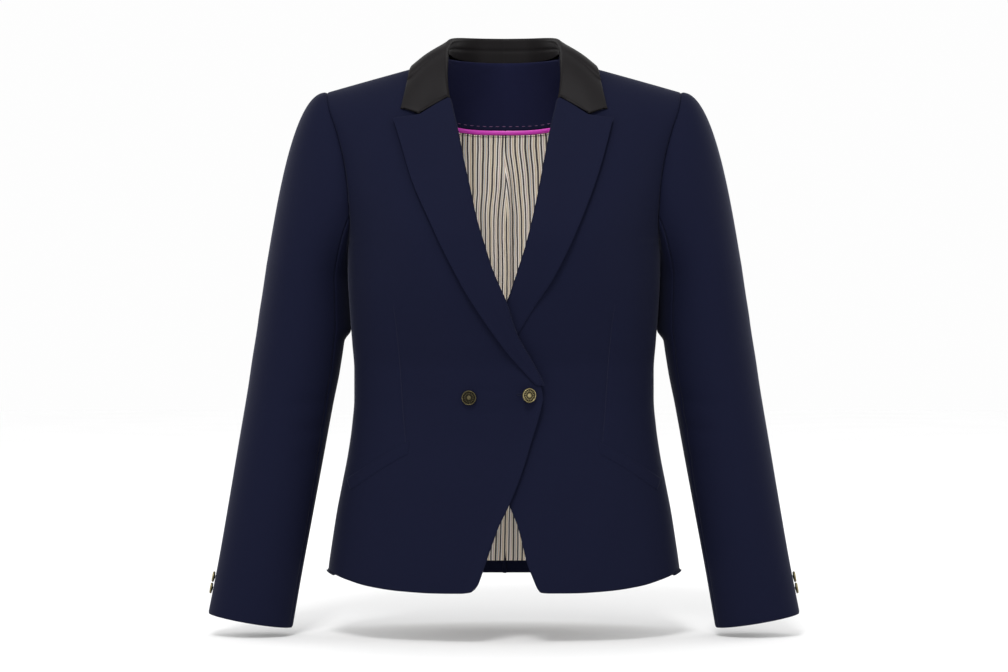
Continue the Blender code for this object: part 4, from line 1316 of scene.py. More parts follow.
@dataclass
class Collar:
    """The black collar: stand, fold and fall in one wall, both halves together."""

    form: BlazerForm
    cloth: float = 1.6
    rows: int = 84
    leaf_columns: int = 34
    stand_columns: int = 16
    gorge_z: float = -50.0
    stand_seam: float = 0.56
    stand_seam_depth: float = 0.8
    stand_seam_width: float = 0.07
    joins_from: float = 0.52
    joins_over: float = 0.08
    end_from: float = 0.72

    def __post_init__(self) -> None:
        """Turns the stations into smooth lines."""
        self.tracks = {name: column(COLLAR_STATIONS, name, "along") for name in CollarStation._fields}
        self.leaf = np.concatenate([np.linspace(0, 0.95, self.leaf_columns)[1:], [0.968, 0.98, 0.99, 1.0]])

    def at(self, name: str, along: float) -> float:
        """One of the stations' lines, read part of the way along."""
        return float(self.tracks[name](along))

    def on_body(self, face: Face, along: float, lift: float) -> Array:
        """The outer edge's place on the front or the back, moved out of it."""
        x, z = self.at("edge_x", along), self.at("edge_z", along)
        return np.array([x, float(self.form.surface_y(face, x, z)), z]) + self.form.outward(face, x, z) * lift

    def edge_point(self, along: float) -> Array:
        """The collar's outer edge, lying on the back, the shoulder or the chest.

        Args:
            along: 0 in the middle of the back, 1 at the collar's front end.

        Returns:
            The point.
        """
        lift = self.form.cloth + self.form.layer_gap + 0.6
        side = self.at("edge_side", along)
        face = Face.BACK if side > 0 else Face.FRONT
        if abs(side) >= 0.999:
            return self.on_body(face, along, lift)
        x = self.at("edge_x", along)
        crest_y, crest_z = self.form.shoulder_seam_y, float(self.form.shoulder_z(x)) + lift
        end = self.on_body(face, 0.40 if side > 0 else 0.66, lift)
        angle = abs(side) * math.pi / 2
        y = crest_y + (end[1] - crest_y) * math.sin(angle)
        return np.array([x, y, end[2] + (crest_z - end[2]) * math.cos(angle)])

    def clear_of_body(self, points: Array, need: float) -> Array:
        """Points of the fall, pushed out until they clear the body.

        Args:
            points: The points.
            need: The least distance.

        Returns:
            The points, moved where they were too near.
        """
        form = self.form
        x, y, z = points.T
        top = form.shoulder_z(x)
        z_on = np.minimum(z, top - 0.8)
        moved = points.copy()
        for face in Face:
            here = (y > form.shoulder_seam_y) == (face is Face.BACK)
            normal = form.outward(face, x, z_on)
            height = (y - form.surface_y(face, x, z_on)) * normal[:, 1] + (z - z_on) * normal[:, 2]
            push = np.maximum(0.0, need - height) * (here & (z < top + need))
            moved += normal * push[:, None]
        return moved

    def row(self, along: float) -> Array:
        """One cross-section, from the foot of the stand round the fold to the edge.

        Args:
            along: 0 in the middle of the back, 1 at the front end.

        Returns:
            The section's points.
        """
        form = self.form
        base = np.array([self.at("base_" + c, along) for c in "xyz"])
        joins = float(smooth((along - self.joins_from) / self.joins_over))
        if along > self.joins_from:
            neck = form.on_front(form.over_edge(base[2]), base[2], -form.cloth / 2, False)
            base = lerp(base, neck, joins)
        fold = np.array([self.at("fold_" + c, along) for c in "xyz"])
        edge = self.edge_point(along)
        up = unit(fold - (base + edge) / 2)
        inner = base - edge
        inner = unit(inner - up * np.dot(inner, up))
        base = base + (1.2 * up + form.cloth / 2 * inner) * joins
        base[0] -= 0.9 * joins
        top = fold + form.roll_radius * inner
        stand = [lerp(base, top, t) for t in np.linspace(0, 1, self.stand_columns, endpoint=False)]
        roll = [
            fold + form.roll_radius * (math.cos(a) * inner + math.sin(a) * up)
            for a in np.radians(np.linspace(0, 180, 15))
        ]
        bow = 3.2 * np.sin(math.pi * self.leaf) * (1 - 0.4 * self.leaf)
        fall = lerp(roll[-1], edge, self.leaf[:, None]) - inner * bow[:, None]
        fall = self.clear_of_body(fall, form.cloth + form.layer_gap + 0.5)
        return np.concatenate([stand, roll, fall])

    def gorge(self) -> Array:
        """The collar's front end: along the gorge seam to the notch, then out to its corner.

        Returns:
            The end section's points.
        """
        form = self.form
        z = self.gorge_z + 2 * form.seam_gap
        roll_x = float(form.over_edge(z))
        half, radius = form.cloth / 2, form.roll_radius
        angle = np.radians(np.linspace(215, 90, self.stand_columns + 15))
        roll = form.on_front(roll_x + radius * np.cos(angle), z, radius * np.sin(angle) - half, False)
        tip = COLLAR_STATIONS[-1]
        turn = (LAPEL_NOTCH.x - roll_x) / (tip.edge_x - roll_x)
        t = self.leaf
        notch_z = LAPEL_NOTCH.z + 0.9
        near = lerp(z, notch_z, t / turn)
        far = lerp(notch_z, tip.edge_z, (t - turn) / (1 - turn))
        lift = radius - half + 1.6 * np.sin(math.pi * t) + 0.7 * t
        leaf = form.on_front(lerp(roll_x, tip.edge_x, t), np.where(t < turn, near, far), lift, False)
        return np.concatenate([roll, leaf])

    def grid(self) -> Array:
        """The whole collar, from its right end round the neck to its left.

        Returns:
            The grid of points.
        """
        end = self.gorge()
        half = []
        for along in np.concatenate([np.linspace(0, 0.985, self.rows), [0.99, 0.9935, 0.997, 1.0]]):
            share = smooth((along - self.end_from) / (1 - self.end_from))
            half.append(lerp(self.row(float(along)), end, share))
        half = np.array(half)
        half[0, :, 0] = 0.0
        count = self.stand_columns
        place = np.arange(half.shape[1]) / count
        groove = bell(place - self.stand_seam, self.stand_seam_width)
        fade = 1 - smooth((np.linspace(0, 1, len(half)) - 0.5) / 0.2)
        half = half + normals_of(half) * (self.stand_seam_depth * groove * fade[:, None])[..., None]
        other = half[::-1][:-1] * MIRROR
        return np.concatenate([other, half])

    def build(self, look: Material) -> None:
        """Makes the collar.

        Args:
            look: The black satin.
        """
        panel = ClothPanel("collar_cloth", self.grid(), False, self.cloth, edge_width=1.2, turned=ROLLED_IN)
        sew(panel, look)


@dataclass
class Inside:
    """What shows through the neck and below the fronts: neck facing, piping and striped lining."""

    form: BlazerForm
    backs: BackPanels
    facing_cloth: float = 1.1
    lining_cloth: float = 1.0
    piping_height: float = 5.4
    piping_thickness: float = 2.2
    lining_hem_z: float = -583.0
    pleat_depth: float = 6.5
    pleat_x: float = 2.5
    pleat_take_up: float = 8.5
    pleat_widths: tuple[float, float] = (13.0, 4.0)
    pleat_shift_width: float = 7.0
    stitch_above: float = 4.6
    lining_creases: tuple[Crease, ...] = (
        Crease((-26.0, -120.0), (-34.0, -300.0), -1.2, 7.0),
        Crease((-12.0, -110.0), (-15.0, -260.0), 0.9, 5.0),
        Crease((22.0, -110.0), (26.0, -280.0), 1.0, 6.0),
        Crease((38.0, -120.0), (33.0, -300.0), -1.1, 7.0),
        Crease((-60.0, -180.0), (-52.0, -560.0), 1.8, 12.0),
        Crease((64.0, -200.0), (70.0, -570.0), 1.8, 12.0),
        Crease((-20.0, -420.0), (-16.0, -580.0), 1.0, 6.0),
        Crease((20.0, -430.0), (24.0, -580.0), -1.0, 7.0),
    )

    def facing_points(self, x: Array, z: Array, lift: float) -> Array:
        """Points on the inside of the back, moved towards the wearer.

        Args:
            x: Distance from the middle.
            z: Height.
            lift: How far inside the form.

        Returns:
            The points.
        """
        rise = np.minimum(self.form.rise_at(Face.BACK, x, z), 0.985)
        points = self.form.column_points(Face.BACK, x, rise)
        points[..., 1] += self.form.seam_gap
        return points - self.form.outward(Face.BACK, x, points[..., 2]) * lift

    def facing_grid(self) -> Array:
        """The back neck facing, from the piping up to the neckline and the shoulder seam.

        Returns:
            The grid of points.
        """
        form, line, neck = self.form, EdgeLine.facing(), EdgeLine.neckline(self.form)
        x = np.concatenate([np.linspace(0, 126.5, 80), [127.2, 127.7, 128.0]])
        low = form.rise_at(Face.BACK, x, line.z(x) + 0.4)
        high = np.minimum(neck.rise(form, x) + 0.014, 0.985)
        t = np.concatenate([[0.0, 0.012, 0.03, 0.055], np.linspace(0.08, 0.99, 30), [1.0]])[:, None]
        half = form.column_points(Face.BACK, np.broadcast_to(x, (len(t), len(x))), lerp(low, high, t))
        half[..., 1] += form.seam_gap
        half = half + normals_of(half) * (form.cloth + form.layer_gap + 1.4 + self.facing_cloth)
        half[:, 0, 0] = 0.0
        return whole(half)

    def lining_grid(self) -> Array:
        """The whole back lining, from the piping to its hem, with its centre pleat.

        Returns:
            The grid of points.
        """
        form = self.form
        top = EdgeLine.lining_top(self.piping_height)
        half = self.backs.half(top, self.lining_hem_z, 76, 9, short=0.03)
        x, z = half[..., 0], half[..., 2]
        inward = -form.outward(Face.BACK, x, np.minimum(z, form.shoulder_z(x) - 1.0))
        upper = (smooth((z + 185.0) / 40.0) * (1 - smooth((x - 146.0) / 14.0)))[..., None]
        inward = unit(lerp(normals_of(half), inward, upper))
        half = half + inward * (form.cloth + form.layer_gap + 1.1 + self.lining_cloth)
        half[:, 0, 0] = 0.0
        half[-1, :, 2] -= 0.5
        grid = whole(half)
        x, z = grid[..., 0].copy(), grid[..., 2].copy()
        depth = self.pleat_depth * smooth((-92 - z) / 60) * smooth((z + 590) / 120)
        off = x - self.pleat_x
        grid[..., 1] -= depth * bell(off, np.where(off < 0, *self.pleat_widths))
        grid[..., 0] += 0.5 * depth * bell(off, self.pleat_shift_width)
        grid[..., 1] += troughs(x, z, self.lining_creases)
        return grid

    def build(
        self, navy: Material, stripes: Material, satin: Material
    ) -> None:
        """Makes the facing, the lining and the piping.

        Args:
            navy: The facing's navy cloth, a lighter copy of the navy twill as painted light inside the shaded
                neck.
            stripes: The lining.
            satin: The piping's satin.
        """
        facing = ClothPanel("neck_facing_cloth", self.facing_grid(), True, self.facing_cloth, 0.5, 1.0)
        sew(facing, navy, node="back_neck_facing")
        made = ClothPanel("lining_cloth", self.lining_grid(), True, self.lining_cloth, 0.4, 1.0).build()
        self.open_pleat(made)
        dress(made, stripes, ["lining_back"])
        dress(self.piping(), satin, ["neck_piping"])

    def open_pleat(self, lining: Object) -> None:
        """Shifts the stripes where the pleat is folded shut, under the piping, so that they spread below it.

        Args:
            lining: The lining's mesh.
        """
        mesh = lining.data
        points = np.empty(len(mesh.vertices) * 3, np.float32)
        mesh.vertices.foreach_get("co", points)
        points = points.reshape(-1, 3) / MM
        loops = np.empty(len(mesh.loops), np.int32)
        mesh.loops.foreach_get("vertex_index", loops)
        z = points[loops, 2]
        layer = mesh.uv_layers["threads"].data
        flat = np.empty(len(mesh.loops) * 2, np.float32)
        layer.foreach_get("uv", flat)
        flat = flat.reshape(-1, 2)
        sizes = np.array([face.loop_total for face in mesh.polygons])
        middles = np.add.reduceat(flat[:, 0], np.cumsum(sizes) - sizes) / sizes
        side = np.repeat(np.sign(middles), sizes)
        shut = 1 - smooth((-88 - z) / 100)
        near = bell(flat[:, 0], 0.042)
        flat[:, 0] += self.pleat_take_up * shut * near * side * MM
        layer.foreach_set("uv", flat.reshape(-1))

    def piping(self) -> Object:
        """The satin piping, a soft oval tube along the facing's lower edge.

        Returns:
            The finished object.
        """
        form, line = self.form, EdgeLine.facing()
        x = np.linspace(-127.0, 127.0, 220)
        slope = line.slope(x)
        drop = (self.piping_height / 2 + 0.3) / np.sqrt(1 + slope**2)
        z = line.z(x) - drop
        x = x + slope * drop
        lift = form.cloth + form.layer_gap + self.piping_thickness / 2 + 0.6
        centres = self.facing_points(x, z, lift)
        normals = form.outward(Face.BACK, x, centres[:, 2])
        side = np.cross(unit(np.gradient(centres, axis=0)), normals)
        angle = np.linspace(0, 2 * math.pi, 18, endpoint=False)[:, None]
        bump = (1 + 0.035 * np.sin(x / 3.1) * np.sin(x / 7.7 + 1.0))[:, None, None]
        wide = normals[:, None] * (self.piping_thickness / 2 * np.cos(angle))
        tall = side[:, None] * (self.piping_height / 2 * bump * np.sin(angle))
        return tube("piping_satin", centres[:, None] + wide + tall)

    def stitch_line(self) -> Array:
        """Where the row of hand stitches runs, just above the piping.

        Returns:
            The line's points.
        """
        x = np.linspace(-112, 112, 160)
        z = EdgeLine.facing().z(x) + self.stitch_above
        lift = self.form.cloth + self.form.layer_gap + 1.4 + self.facing_cloth + 0.15
        return self.facing_points(x, z, lift)


def whole(half: Array) -> Array:
    """Both halves of a grid whose first column lies in the middle."""
    return np.concatenate([(half * MIRROR)[:, :0:-1], half], axis=1)


def mesh_piece(name: str, points: Array, faces: Sequence[Sequence[int]]) -> Object:
    """A closed piece from points in millimetres, its faces turned outwards.

    Args:
        name: The piece's name.
        points: Its points.
        faces: Its faces, as point numbers.

    Returns:
        The object.
    """
    mesh = bpy.data.meshes.new(name)
    mesh.from_pydata((points * MM).reshape(-1, 3).tolist(), [], [list(face) for face in faces])
    mesh.update()
    mesh.calc_loop_triangles()
    corners = np.array([[mesh.vertices[i].co for i in face.vertices] for face in mesh.loop_triangles])
    if np.sum(corners[:, 0] * np.cross(corners[:, 1], corners[:, 2])) < 0:
        mesh.flip_normals()
    shade(mesh, 40)
    return in_scene(name, mesh)


def tube(name: str, rings: Array) -> Object:
    """A closed tube through rings of points.

    Args:
        name: The piece's name.
        rings: The points, ring by ring.

    Returns:
        The object.
    """
    count, around = rings.shape[:2]
    faces = [tuple(range(around))[::-1], tuple(range((count - 1) * around, count * around))]
    for r in range(count - 1):
        for k in range(around):
            a, b = r * around + k, r * around + (k + 1) % around
            faces.append((a, b, b + around, a + around))
    return mesh_piece(name, rings, faces)


@dataclass
class Pockets:
    """The two slanted welts."""

    form: BlazerForm
    cloth: float = 1.4
    top: tuple[Mark, Mark] = (Mark(-433.0, 104.5), Mark(-477.5, 176.5))
    bottom: tuple[Mark, Mark] = (Mark(-448.5, 105.8), Mark(-490.5, 171.3))
    bow: float = 2.0

    def grid(self) -> Array:
        """A welt on its front, in own x, its top edge uppermost.

        Returns:
            The grid of points.
        """
        t = edged(66, 0.02)
        up = edged(12, 0.10)[:, None]
        x = lerp(lerp(self.bottom[0].x, self.bottom[1].x, t), lerp(self.top[0].x, self.top[1].x, t), up)
        z = lerp(lerp(self.bottom[0].z, self.bottom[1].z, t), lerp(self.top[0].z, self.top[1].z, t), up)
        z = z + self.bow * np.sin(math.pi * t)
        lift = 0.95 + 0.3 * t + 0.2 * np.sin(math.pi * up)
        return self.form.on_front(x, z, lift, False)

    def build(self, look: Material) -> None:
        """Makes both welts.

        Args:
            look: The navy cloth.
        """
        edges = {"edge_drop": 0.75, "edge_width": 1.1}
        for side in Side:
            sew(side_panel(side, "pocket_welt", self.grid(), Side.LEFT, self.cloth, **edges), look)


class Turned(NamedTuple):
    """A ring of a turned shape, as shares of the radius and the height, and how worn it is there."""

    spoke: float
    lift: float
    worn: float


BUTTON_FACE = (
    Turned(0.40, 0.0, 0.0), Turned(0.80, 0.06, 0.0), Turned(0.93, 0.14, 0.1), Turned(0.985, 0.30, 0.4),
    Turned(1.0, 0.50, 0.7), Turned(0.99, 0.72, 0.9), Turned(0.965, 0.90, 1.0), Turned(0.93, 0.985, 1.0),
    Turned(0.89, 1.0, 1.0), Turned(0.85, 0.97, 0.9), Turned(0.82, 0.88, 0.3), Turned(0.79, 0.70, 0.0),
    Turned(0.76, 0.64, 0.0), Turned(0.72, 0.66, 0.3), Turned(0.66, 0.72, 0.5), Turned(0.58, 0.76, 0.6),
    Turned(0.50, 0.78, 0.5), Turned(0.42, 0.77, 0.3), Turned(0.36, 0.72, 0.0), Turned(0.32, 0.72, 0.0),
    Turned(0.28, 0.80, 0.5), Turned(0.20, 0.87, 0.8), Turned(0.10, 0.90, 0.9),
)  # fmt: skip


@dataclass
class ButtonPlace:
    """Where one button sits, and how it is turned."""

    node: str
    seat: Array
    facing: Array
    radius: float
    height: float
    shank: float
    # Scales this button's brass wear; away from 1 it is painted light, darker or brighter by how light falls
    # on the button.
    rubbed: float = 1.0


@dataclass
class Buttons:
    """The antique brass buttons: a beaded rim round a plain sunk face with fine rings."""

    form: BlazerForm
    sleeves: Sleeves
    around: int = 96
    beads: int = 40
    ribs: int = 16
    rib_depth: float = 0.22
    front_size: tuple[float, float] = (8.2, 2.9)
    sleeve_size: tuple[float, float] = (6.2, 2.3)
    rim_share: float = 0.90
    bead_share: float = 0.05
    bead_wear: float = 0.85

    def places(self) -> list[ButtonPlace]:
        """The six buttons' places.

        Returns:
            Two on the right front and two on each sleeve.
        """
        form, found = self.form, []
        for node, own_x, z, turned, shank, rubbed in (
            # Painted light: the outer button's wear is scaled down as painted shade, the edge button's scaled
            # up as a painted highlight.
            ("front_button_outer", 38.3, -385.3, 0.0, 0.9, 0.34),
            ("front_button_edge", -25.7, -382.5, 0.42, 3.0, 1.9),
        ):
            seat = Side.RIGHT.turn(form.on_front(own_x, z, 0.4 + 2.6 * math.sin(turned), True))
            facing = Side.RIGHT.turn(form.outward(Face.FRONT, np.array(own_x), np.array(z)))
            facing = facing + np.array([math.tan(turned), 0.0, 0.0])
            found.append(ButtonPlace(node, seat, facing, *self.front_size, shank, rubbed))
        for side in Side:
            for place, z in (("upper", -598.6), ("lower", -611.3)):
                seat = side.turn(self.sleeves.ring(z, 0.0) + 0.4 * self.sleeves.across)
                node = side.named(f"sleeve_button_{place}")
                facing = side.turn(self.sleeves.across)
                found.append(ButtonPlace(node, seat, facing, *self.sleeve_size, 0.5))
        return found

    def profile(self, place: ButtonPlace) -> list[Turned]:
        """The button's turned shape.

        Args:
            place: The button.

        Returns:
            Its rings, from the back to the middle of the face.
        """
        share = place.height / (place.height + place.shank)
        rows = [Turned(row.spoke, 1 - share * (1 - row.lift), row.worn) for row in BUTTON_FACE]
        return [Turned(0.34, 0.0, 0.0), *rows, Turned(0.0, 1 - share * 0.09, 0.9)]

    @staticmethod
    def wear(obj: Object, values: Array) -> None:
        """Keeps how worn the metal is at each point, with the button's painted light scale in it."""
        worn = obj.data.attributes.new("worn", "FLOAT", "POINT")
        worn.data.foreach_set("value", values.astype(np.float32))

    def build(self, look: Material) -> None:
        """Makes the six buttons with their beaded rims.

        Args:
            look: The brass.
        """
        tree = bead_ring_tree()
        angle = np.linspace(0, 2 * math.pi, self.around, endpoint=False)[:, None]
        rib = 0.5 + 0.5 * np.cos(self.ribs * angle)
        for place in self.places():
            normal = unit(place.facing)
            side = unit(np.cross(normal, [0.0, 0.0, 1.0]))
            spokes = side * np.cos(angle) + np.cross(side, normal) * np.sin(angle)
            height = place.height + place.shank
            rings, worn = [], []
            for row in self.profile(place):
                here = rib * (0.40 < row.spoke < 0.74)
                around = spokes * max(row.spoke, 1e-3) * place.radius
                rings.append(place.seat + around + normal * (row.lift * height - self.rib_depth * here))
                # The worn values are patina in the hollows times the button's painted light scale.
                worn.append(np.clip(row.worn - 0.75 * here[:, 0], 0, 1) * place.rubbed)
            made = tube(f"{place.node}_brass", np.array(rings))
            self.wear(made, np.concatenate(worn))
            dress(made, look, [place.node])
            rim = place.seat + spokes * self.rim_share * place.radius + normal * height * 0.985
            sizes = {"Count": self.beads, "Radius": self.bead_share * place.radius * MM}
            beads = followed(f"{place.node}_beads", rim, True, tree, look, **sizes)
            self.wear(beads, np.full(len(beads.data.vertices), self.bead_wear * place.rubbed))
            dress(beads, look)


def socket_id(tree: NodeTree, name: str) -> str:
    """The identifier of a tree's input, by name."""
    return next(
        s.identifier for s in tree.interface.items_tree if s.in_out == "INPUT" and s.name == name
    )


def followed(
    name: str,
    line: Array,
    closed: bool,
    tree: NodeTree,
    look: Material,
    **sizes: float | int,
) -> Object:
    """Runs a Geometry Nodes tree along a line and keeps the result as a plain mesh.

    Args:
        name: The piece's name.
        line: The line's points, in millimetres.
        closed: Whether the line's ends meet.
        tree: The tree.
        look: The material that it sets.
        sizes: The tree's other named inputs.

    Returns:
        The finished object.
    """
    count = len(line)
    edges = [(k, k + 1) for k in range(count - 1)] + ([(count - 1, 0)] if closed else [])
    mesh = bpy.data.meshes.new(name)
    mesh.from_pydata((line * MM).tolist(), edges, [])
    made = in_scene(name, mesh)
    modifier = made.modifiers.new("Follow", "NODES")
    modifier.node_group = tree
    modifier[socket_id(tree, "Finish")] = look
    for key, value in sizes.items():
        modifier[socket_id(tree, key)] = value
    settle(made)
    return made


class NodeBuilder:
    """Short ways to build a node tree."""

    def __init__(self, tree: NodeTree) -> None:
        """Works in the given tree."""
        self.tree = tree

    def put(self, socket: NodeSocket, value: object) -> None:
        """Links or sets one input."""
        if isinstance(value, NodeSocket):
            self.tree.links.new(value, socket)
        else:
            socket.default_value = value

    def feed(self, node: Node, inputs: dict[str, object]) -> Node:
        """Links or sets some of a node's inputs, by name."""
        for name, value in inputs.items():
            self.put(node.inputs[name], value)
        return node

    def node(self, kind: str, inputs: dict[str, object] | None = None, **settings: object) -> Node:
        """A new node.

        Args:
            kind: Its type.
            inputs: A value or a socket for each input, by name.
            settings: Its own settings.

        Returns:
            The node.
        """
        made = self.tree.nodes.new(kind)
        for key, value in settings.items():
            setattr(made, key, value)
        return self.feed(made, inputs or {})

    def math(self, operation: str, a: object, b: object = 0.0, c: object = 0.0) -> NodeSocket:
        """A Math node.

        Args:
            operation: The node's operation.
            a: First value or socket.
            b: Second value or socket.
            c: Third value or socket.

        Returns:
            Its result.
        """
        made = self.node("ShaderNodeMath", operation=operation)
        for socket, value in zip(made.inputs, (a, b, c)):
            self.put(socket, value)
        return made.outputs[0]


class TreeBuilder(NodeBuilder):
    """Builds a Geometry Nodes tree with named inputs."""

    def __init__(self, name: str, inputs: dict[str, str]) -> None:
        """Starts a tree.

        Args:
            name: The tree's name.
            inputs: The kind of each input after the geometry, by name.
        """
        super().__init__(bpy.data.node_groups.new(name, "GeometryNodeTree"))
        inputs = {"Geometry": "Geometry", **inputs, "Finish": "Material"}
        for label, kind in inputs.items():
            self.tree.interface.new_socket(name=label, in_out="INPUT", socket_type=f"NodeSocket{kind}")
        self.tree.interface.new_socket(name="Geometry", in_out="OUTPUT", socket_type="NodeSocketGeometry")
        self.start = self.node("NodeGroupInput").outputs
        self.end = self.node("NodeGroupOutput")

    def finish(self, geometry: NodeSocket) -> NodeTree:
        """Ends the tree with real geometry and its material.

        Args:
            geometry: The instances.

        Returns:
            The tree.
        """
        real = self.node("GeometryNodeRealizeInstances", {"Geometry": geometry}).outputs["Geometry"]
        inputs = {"Geometry": real, "Material": self.start["Finish"]}
        painted = self.node("GeometryNodeSetMaterial", inputs)
        self.feed(self.end, {"Geometry": painted.outputs["Geometry"]})
        return self.tree


def bead_ring_tree() -> NodeTree:
    """Beads set side by side along a line.

    Returns:
        The tree, with inputs Count, Radius and Finish.
    """
    build = TreeBuilder("bead_ring", {"Count": "Int", "Radius": "Float"})
    start = build.start
    curve = build.node("GeometryNodeMeshToCurve", {"Mesh": start["Geometry"]}).outputs["Curve"]
    even = build.node("GeometryNodeResampleCurve", {"Curve": curve, "Count": start["Count"]})
    bead = build.node("GeometryNodeMeshIcoSphere", {"Subdivisions": 2, "Radius": start["Radius"]})
    inputs = {"Points": even.outputs["Curve"], "Instance": bead.outputs["Mesh"]}
    return build.finish(build.node("GeometryNodeInstanceOnPoints", inputs).outputs["Instances"])


def stitch_row_tree() -> NodeTree:
    """A row of hand stitches along a line, each a short flat thread with a little unevenness.

    Returns:
        The tree, with inputs Pitch, Length, Radius and Finish.
    """
    build = TreeBuilder("stitch_row", {"Pitch": "Float", "Length": "Float", "Radius": "Float"})
    start = build.start
    curve = build.node("GeometryNodeMeshToCurve", {"Mesh": start["Geometry"]}).outputs["Curve"]
    along = {"Curve": curve, "Length": start["Pitch"]}
    points = build.node("GeometryNodeCurveToPoints", along, mode="LENGTH").outputs
    thread = build.node("GeometryNodeMeshUVSphere", {"Segments": 8, "Rings": 6, "Radius": 1.0})
    spread = {"Min": 0.86, "Max": 1.12, "Seed": 7}
    uneven = build.node("FunctionNodeRandomValue", spread, data_type="FLOAT").outputs["Value"]
    long = build.math("MULTIPLY", build.math("MULTIPLY", start["Length"], 0.5), uneven)
    size = build.node("ShaderNodeCombineXYZ", {"X": start["Radius"], "Y": start["Radius"], "Z": long})
    inputs = {
        "Points": points["Points"],
        "Rotation": points["Rotation"],
        "Instance": thread.outputs["Mesh"],
        "Scale": size.outputs["Vector"],
    }
    return build.finish(build.node("GeometryNodeInstanceOnPoints", inputs).outputs["Instances"])


@dataclass
class Stitching:
    """Hand stitches over the piping, the buttonhole by the edge button, and the fine lines of the darts'
    seams.
    """

    form: BlazerForm
    inside: Inside
    pitch: float = 7.6
    length: float = 4.2
    thread: float = 0.34
    hole_z: float = -382.0
    hole_from: float = -30.0
    hole_to: float = -14.5
    hole_half_height: float = 0.9
    dart_radius: float = 0.42

    def buttonhole_line(self) -> Array:
        """The line round the buttonhole's slit, on the right front.

        Returns:
            The line's points, closed.
        """
        a = np.linspace(0, 2 * math.pi, 80, endpoint=False)
        middle, half = (self.hole_from + self.hole_to) / 2, (self.hole_to - self.hole_from) / 2
        x = middle + half * np.sign(np.cos(a)) * np.abs(np.cos(a)) ** 0.5
        z = self.hole_z + self.hole_half_height * np.sign(np.sin(a)) * np.abs(np.sin(a)) ** 0.5
        return Side.RIGHT.turn(self.form.on_front(x, z, 0.25, True))

    def build(self, mauve: Material, navy: Material) -> None:
        """Makes the stitches.

        Args:
            mauve: The thread over the piping.
            navy: The buttonhole's thread.
        """
        tree = stitch_row_tree()
        rows = (
            ("neck_stitches", self.inside.stitch_line(), False, mauve, self.pitch, self.length),
            ("buttonhole_stitches", self.buttonhole_line(), True, navy, 0.55, 1.5),
        )
        for name, line, closed, look, pitch, length in rows:
            sizes = {"Pitch": pitch * MM, "Length": length * MM, "Radius": self.thread * MM}
            made = followed(name, line, closed, tree, look, **sizes)
            dress(made, look)
        for side in Side:
            dress(self.dart_seam(side), navy)

    def dart_seam(self, side: Side) -> Object:
        """The fine line of a waist dart's seam.

        Args:
            side: Which front.

        Returns:
            The finished object.
        """
        fronts = FrontPanels(self.form)
        z = np.linspace(fronts.dart[0].z + 2.0, fronts.dart[-1].z - 2.0, 60)
        lift = 0.15 - (fronts.dart_depth + 0.5) * fronts.dart_window(z)
        centres = self.form.on_front(column(fronts.dart, "x")(z), z, lift, side is Side.RIGHT)
        radius = self.dart_radius * np.sin(np.linspace(0.02, math.pi - 0.02, len(z))) ** 0.35
        angle = np.linspace(0, 2 * math.pi, 8, endpoint=False)
        ring = np.stack([np.cos(angle), np.sin(angle), 0 * angle], axis=-1)
        points = side.turn(centres[:, None] + radius[:, None, None] * ring[None])
        return tube(side.named("dart_seam"), points)


class ShaderBuilder(NodeBuilder):
    """Builds a material or a shader node group."""

    def mix(self, share: object, a: object, b: object) -> NodeSocket:
        """The mix of two colours or sockets."""
        inputs = {"Factor": share, "A": a, "B": b}
        return self.node("ShaderNodeMix", inputs, data_type="RGBA").outputs["Result"]

    def noise(self, vector: NodeSocket, scale: float, detail: float = 2.0) -> NodeSocket:
        """The value of a Noise texture, its scale a metre."""
        inputs = {"Vector": vector, "Scale": scale, "Detail": detail}
        return self.node("ShaderNodeTexNoise", inputs).outputs["Fac"]

    def bump(self, height: NodeSocket, strength: float, distance: float) -> NodeSocket:
        """The normal of a Bump node."""
        inputs = {"Strength": strength, "Distance": distance, "Height": height}
        return self.node("ShaderNodeBump", inputs).outputs["Normal"]

    def cloth(self, weave: NodeTree, threads: float, lean: float, fuzz: float) -> bpy.types.NodeOutputs:
        """The outputs of the shared weave, with a cloth's own values."""
        inputs = {"Threads": threads, "Lean": lean, "Fuzz": fuzz}
        return self.node("ShaderNodeGroup", inputs, node_tree=weave).outputs


def colour(red: float, green: float, blue: float) -> Colour:
    """An sRGB colour in 0 to 255, as the linear colour that a node takes."""
    shares = [value / 255 for value in (red, green, blue)]
    return (*(v / 12.92 if v < 0.0404 else ((v + 0.055) / 1.055) ** 2.4 for v in shares), 1.0)


